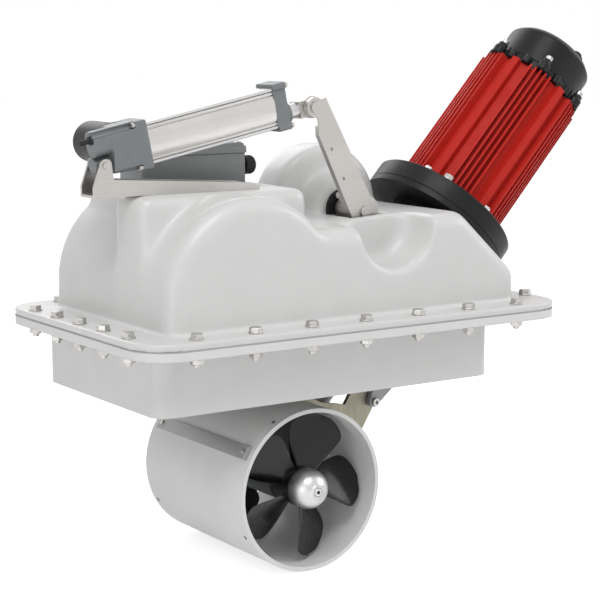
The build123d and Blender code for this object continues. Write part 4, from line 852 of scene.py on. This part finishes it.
# Name, node, body, finish, voxel size and smoothing passes
softCastings = (
    ("rearCapCasting", "actuator_rear_cap", "actuator", "cap_grey", 0.0008, 7),
    ("frontCapCasting", "actuator_front_cap", "actuator", "cap_grey", 0.0008, 4),
    ("motorEndShield", "motor_end_ring", "housing_unit", "black_paint", 0.0011, 3),
    ("motorEndBell", "motor_end_cap", "housing_unit", "black_paint", 0.0013, 6),
    ("doorLugs", "door_brackets", "leg", "bracketGrey", 0.0008, 5),
)
castingStrength = 0.6


def softenCasting(name, node, body, finish, voxel, passes):
    # Cast pieces get one skin with rounded edges and filled corners
    piece = bpy.data.objects.new(name, nodes[node].data.copy())
    bpy.context.scene.collection.objects.link(piece)
    remesh = piece.modifiers.new("skin", "REMESH")
    remesh.mode = "VOXEL"
    remesh.voxel_size = voxel
    soften = piece.modifiers.new("soften", "SMOOTH")
    soften.iterations = passes
    soften.factor = castingStrength
    applyModifiers(piece)
    piece.data.shade_smooth()
    piece.data.materials.clear()
    piece.data.materials.append(materials[finish])
    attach(piece, body)
    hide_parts(node)
    print("stage:", name, len(piece.data.polygons), "faces")


buildSeamBolts()
buildTube()
buildTieRods()
buildBox()
buildGland()
buildTunnelScrews()
buildBoots()
buildBlades("frontBlades", "front_propeller", "front_prop", -1.0)
buildBlades("rearBlades", "rear_propeller", "rear_prop", 1.0)
buildNose("frontNoseCone", "front_nose", "front_prop", -1.0)
buildNose("rearNoseCone", "rear_nose", "rear_prop", 1.0)
for row in softCastings:
    softenCasting(*row)
print("stage: bolts, tube, noses and castings")


# Pale floor, white surroundings and four soft lamps, each with its place, size and power
studio = {
    "floorColour": 0.86, "floorRough": 0.9, "floorShine": 0.1, "floorRadius": 14.0,
    "floorGap": 0.0005, "floorLift": 0.66,
    "worldStrength": 0.40,
    "lampTarget": (0.0, 0.0, 0.05),
    "lamps": (
        ("keyLamp", (-0.9, -1.3, 2.4), 1.7, 37.0),
        ("sideLamp", (2.0, -1.0, 1.0), 1.3, 13.0),
        ("backLamp", (0.4, 2.0, 1.6), 1.8, 17.0),
        ("lowLamp", (-2.3, -1.3, 0.15), 1.4, 9.0),
    ),
}


def seenRays(tree):
    # 1 where the camera sees the surface straight, in metal or through glass
    rays = tree.nodes.new("ShaderNodeLightPath")
    seen = mathNode(tree, "MAXIMUM", rays.outputs["Is Camera Ray"], rays.outputs["Is Glossy Ray"])
    return mathNode(tree, "MAXIMUM", seen, rays.outputs["Is Transmission Ray"])


def buildFloor():
    mesh = bpy.data.meshes.new("studioFloor")
    rim = bmesh.new()
    bmesh.ops.create_circle(rim, cap_ends=True, segments=96, radius=studio["floorRadius"])
    rim.to_mesh(mesh)
    rim.free()
    floor = bpy.data.objects.new("studioFloor", mesh)
    bpy.context.scene.collection.objects.link(floor)
    floor.location.z = cadBox[0][2] - studio["floorGap"]
    material = bpy.data.materials.new("studioPaper")
    material.use_nodes = True
    tree = material.node_tree
    shader = tree.nodes["Principled BSDF"]
    shader.inputs["Base Color"].default_value = (*([studio["floorColour"]] * 3), 1.0)
    shader.inputs["Roughness"].default_value = studio["floorRough"]
    shader.inputs["Specular IOR Level"].default_value = studio["floorShine"]
    glow = tree.nodes.new("ShaderNodeEmission")
    lift = mathNode(tree, "MULTIPLY", seenRays(tree), studio["floorLift"])
    tree.links.new(lift, glow.inputs["Strength"])
    both = tree.nodes.new("ShaderNodeAddShader")
    tree.links.new(shader.outputs[0], both.inputs[0])
    tree.links.new(glow.outputs[0], both.inputs[1])
    # From below the floor is clear, so that the underside can be looked at
    under = tree.nodes.new("ShaderNodeNewGeometry")
    clear = tree.nodes.new("ShaderNodeBsdfTransparent")
    oneSided = tree.nodes.new("ShaderNodeMixShader")
    tree.links.new(under.outputs["Backfacing"], oneSided.inputs["Fac"])
    tree.links.new(both.outputs[0], oneSided.inputs[1])
    tree.links.new(clear.outputs[0], oneSided.inputs[2])
    tree.links.new(oneSided.outputs[0], tree.nodes["Material Output"].inputs["Surface"])
    mesh.materials.append(material)


def buildWorld():
    world = bpy.data.worlds.new("studioWorld")
    bpy.context.scene.world = world
    world.use_nodes = True
    tree = world.node_tree
    plain = tree.nodes["Background"]
    plain.inputs["Color"].default_value = (1.0, 1.0, 1.0, 1.0)
    dim = studio["worldStrength"]
    strength = mathNode(tree, "MULTIPLY_ADD", seenRays(tree), 1.0 - dim, dim)
    tree.links.new(strength, plain.inputs["Strength"])


def buildLamps():
    target = Vector(studio["lampTarget"])
    for name, place, size, power in studio["lamps"]:
        lamp = bpy.data.lights.new(name, "AREA")
        lamp.shape = "DISK"
        lamp.size = size
        lamp.energy = power
        holder = bpy.data.objects.new(name, lamp)
        bpy.context.scene.collection.objects.link(holder)
        holder.location = place
        holder.rotation_euler = (target - Vector(place)).to_track_quat("-Z", "Y").to_euler()


cameraView = {
    "place": (-1.17785, -1.77454, 0.33836), "aim": (0.01891, 0.0, 0.00948),
    "lens": 105.71, "sensor": 36.0, "nearest": 0.05, "farthest": 60.0,
}


def buildCamera():
    data = bpy.data.cameras.new("photoCamera")
    data.lens = cameraView["lens"]
    data.sensor_width = cameraView["sensor"]
    data.clip_start = cameraView["nearest"]
    data.clip_end = cameraView["farthest"]
    camera = bpy.data.objects.new("photoCamera", data)
    bpy.context.scene.collection.objects.link(camera)
    camera.location = cameraView["place"]
    ahead = Vector(cameraView["aim"]) - Vector(cameraView["place"])
    camera.rotation_euler = ahead.to_track_quat("-Z", "Y").to_euler()
    bpy.context.scene.camera = camera


buildFloor()
buildWorld()
buildLamps()
buildCamera()
bpy.context.scene.view_settings.view_transform = "Standard"
print("stage: studio ready")
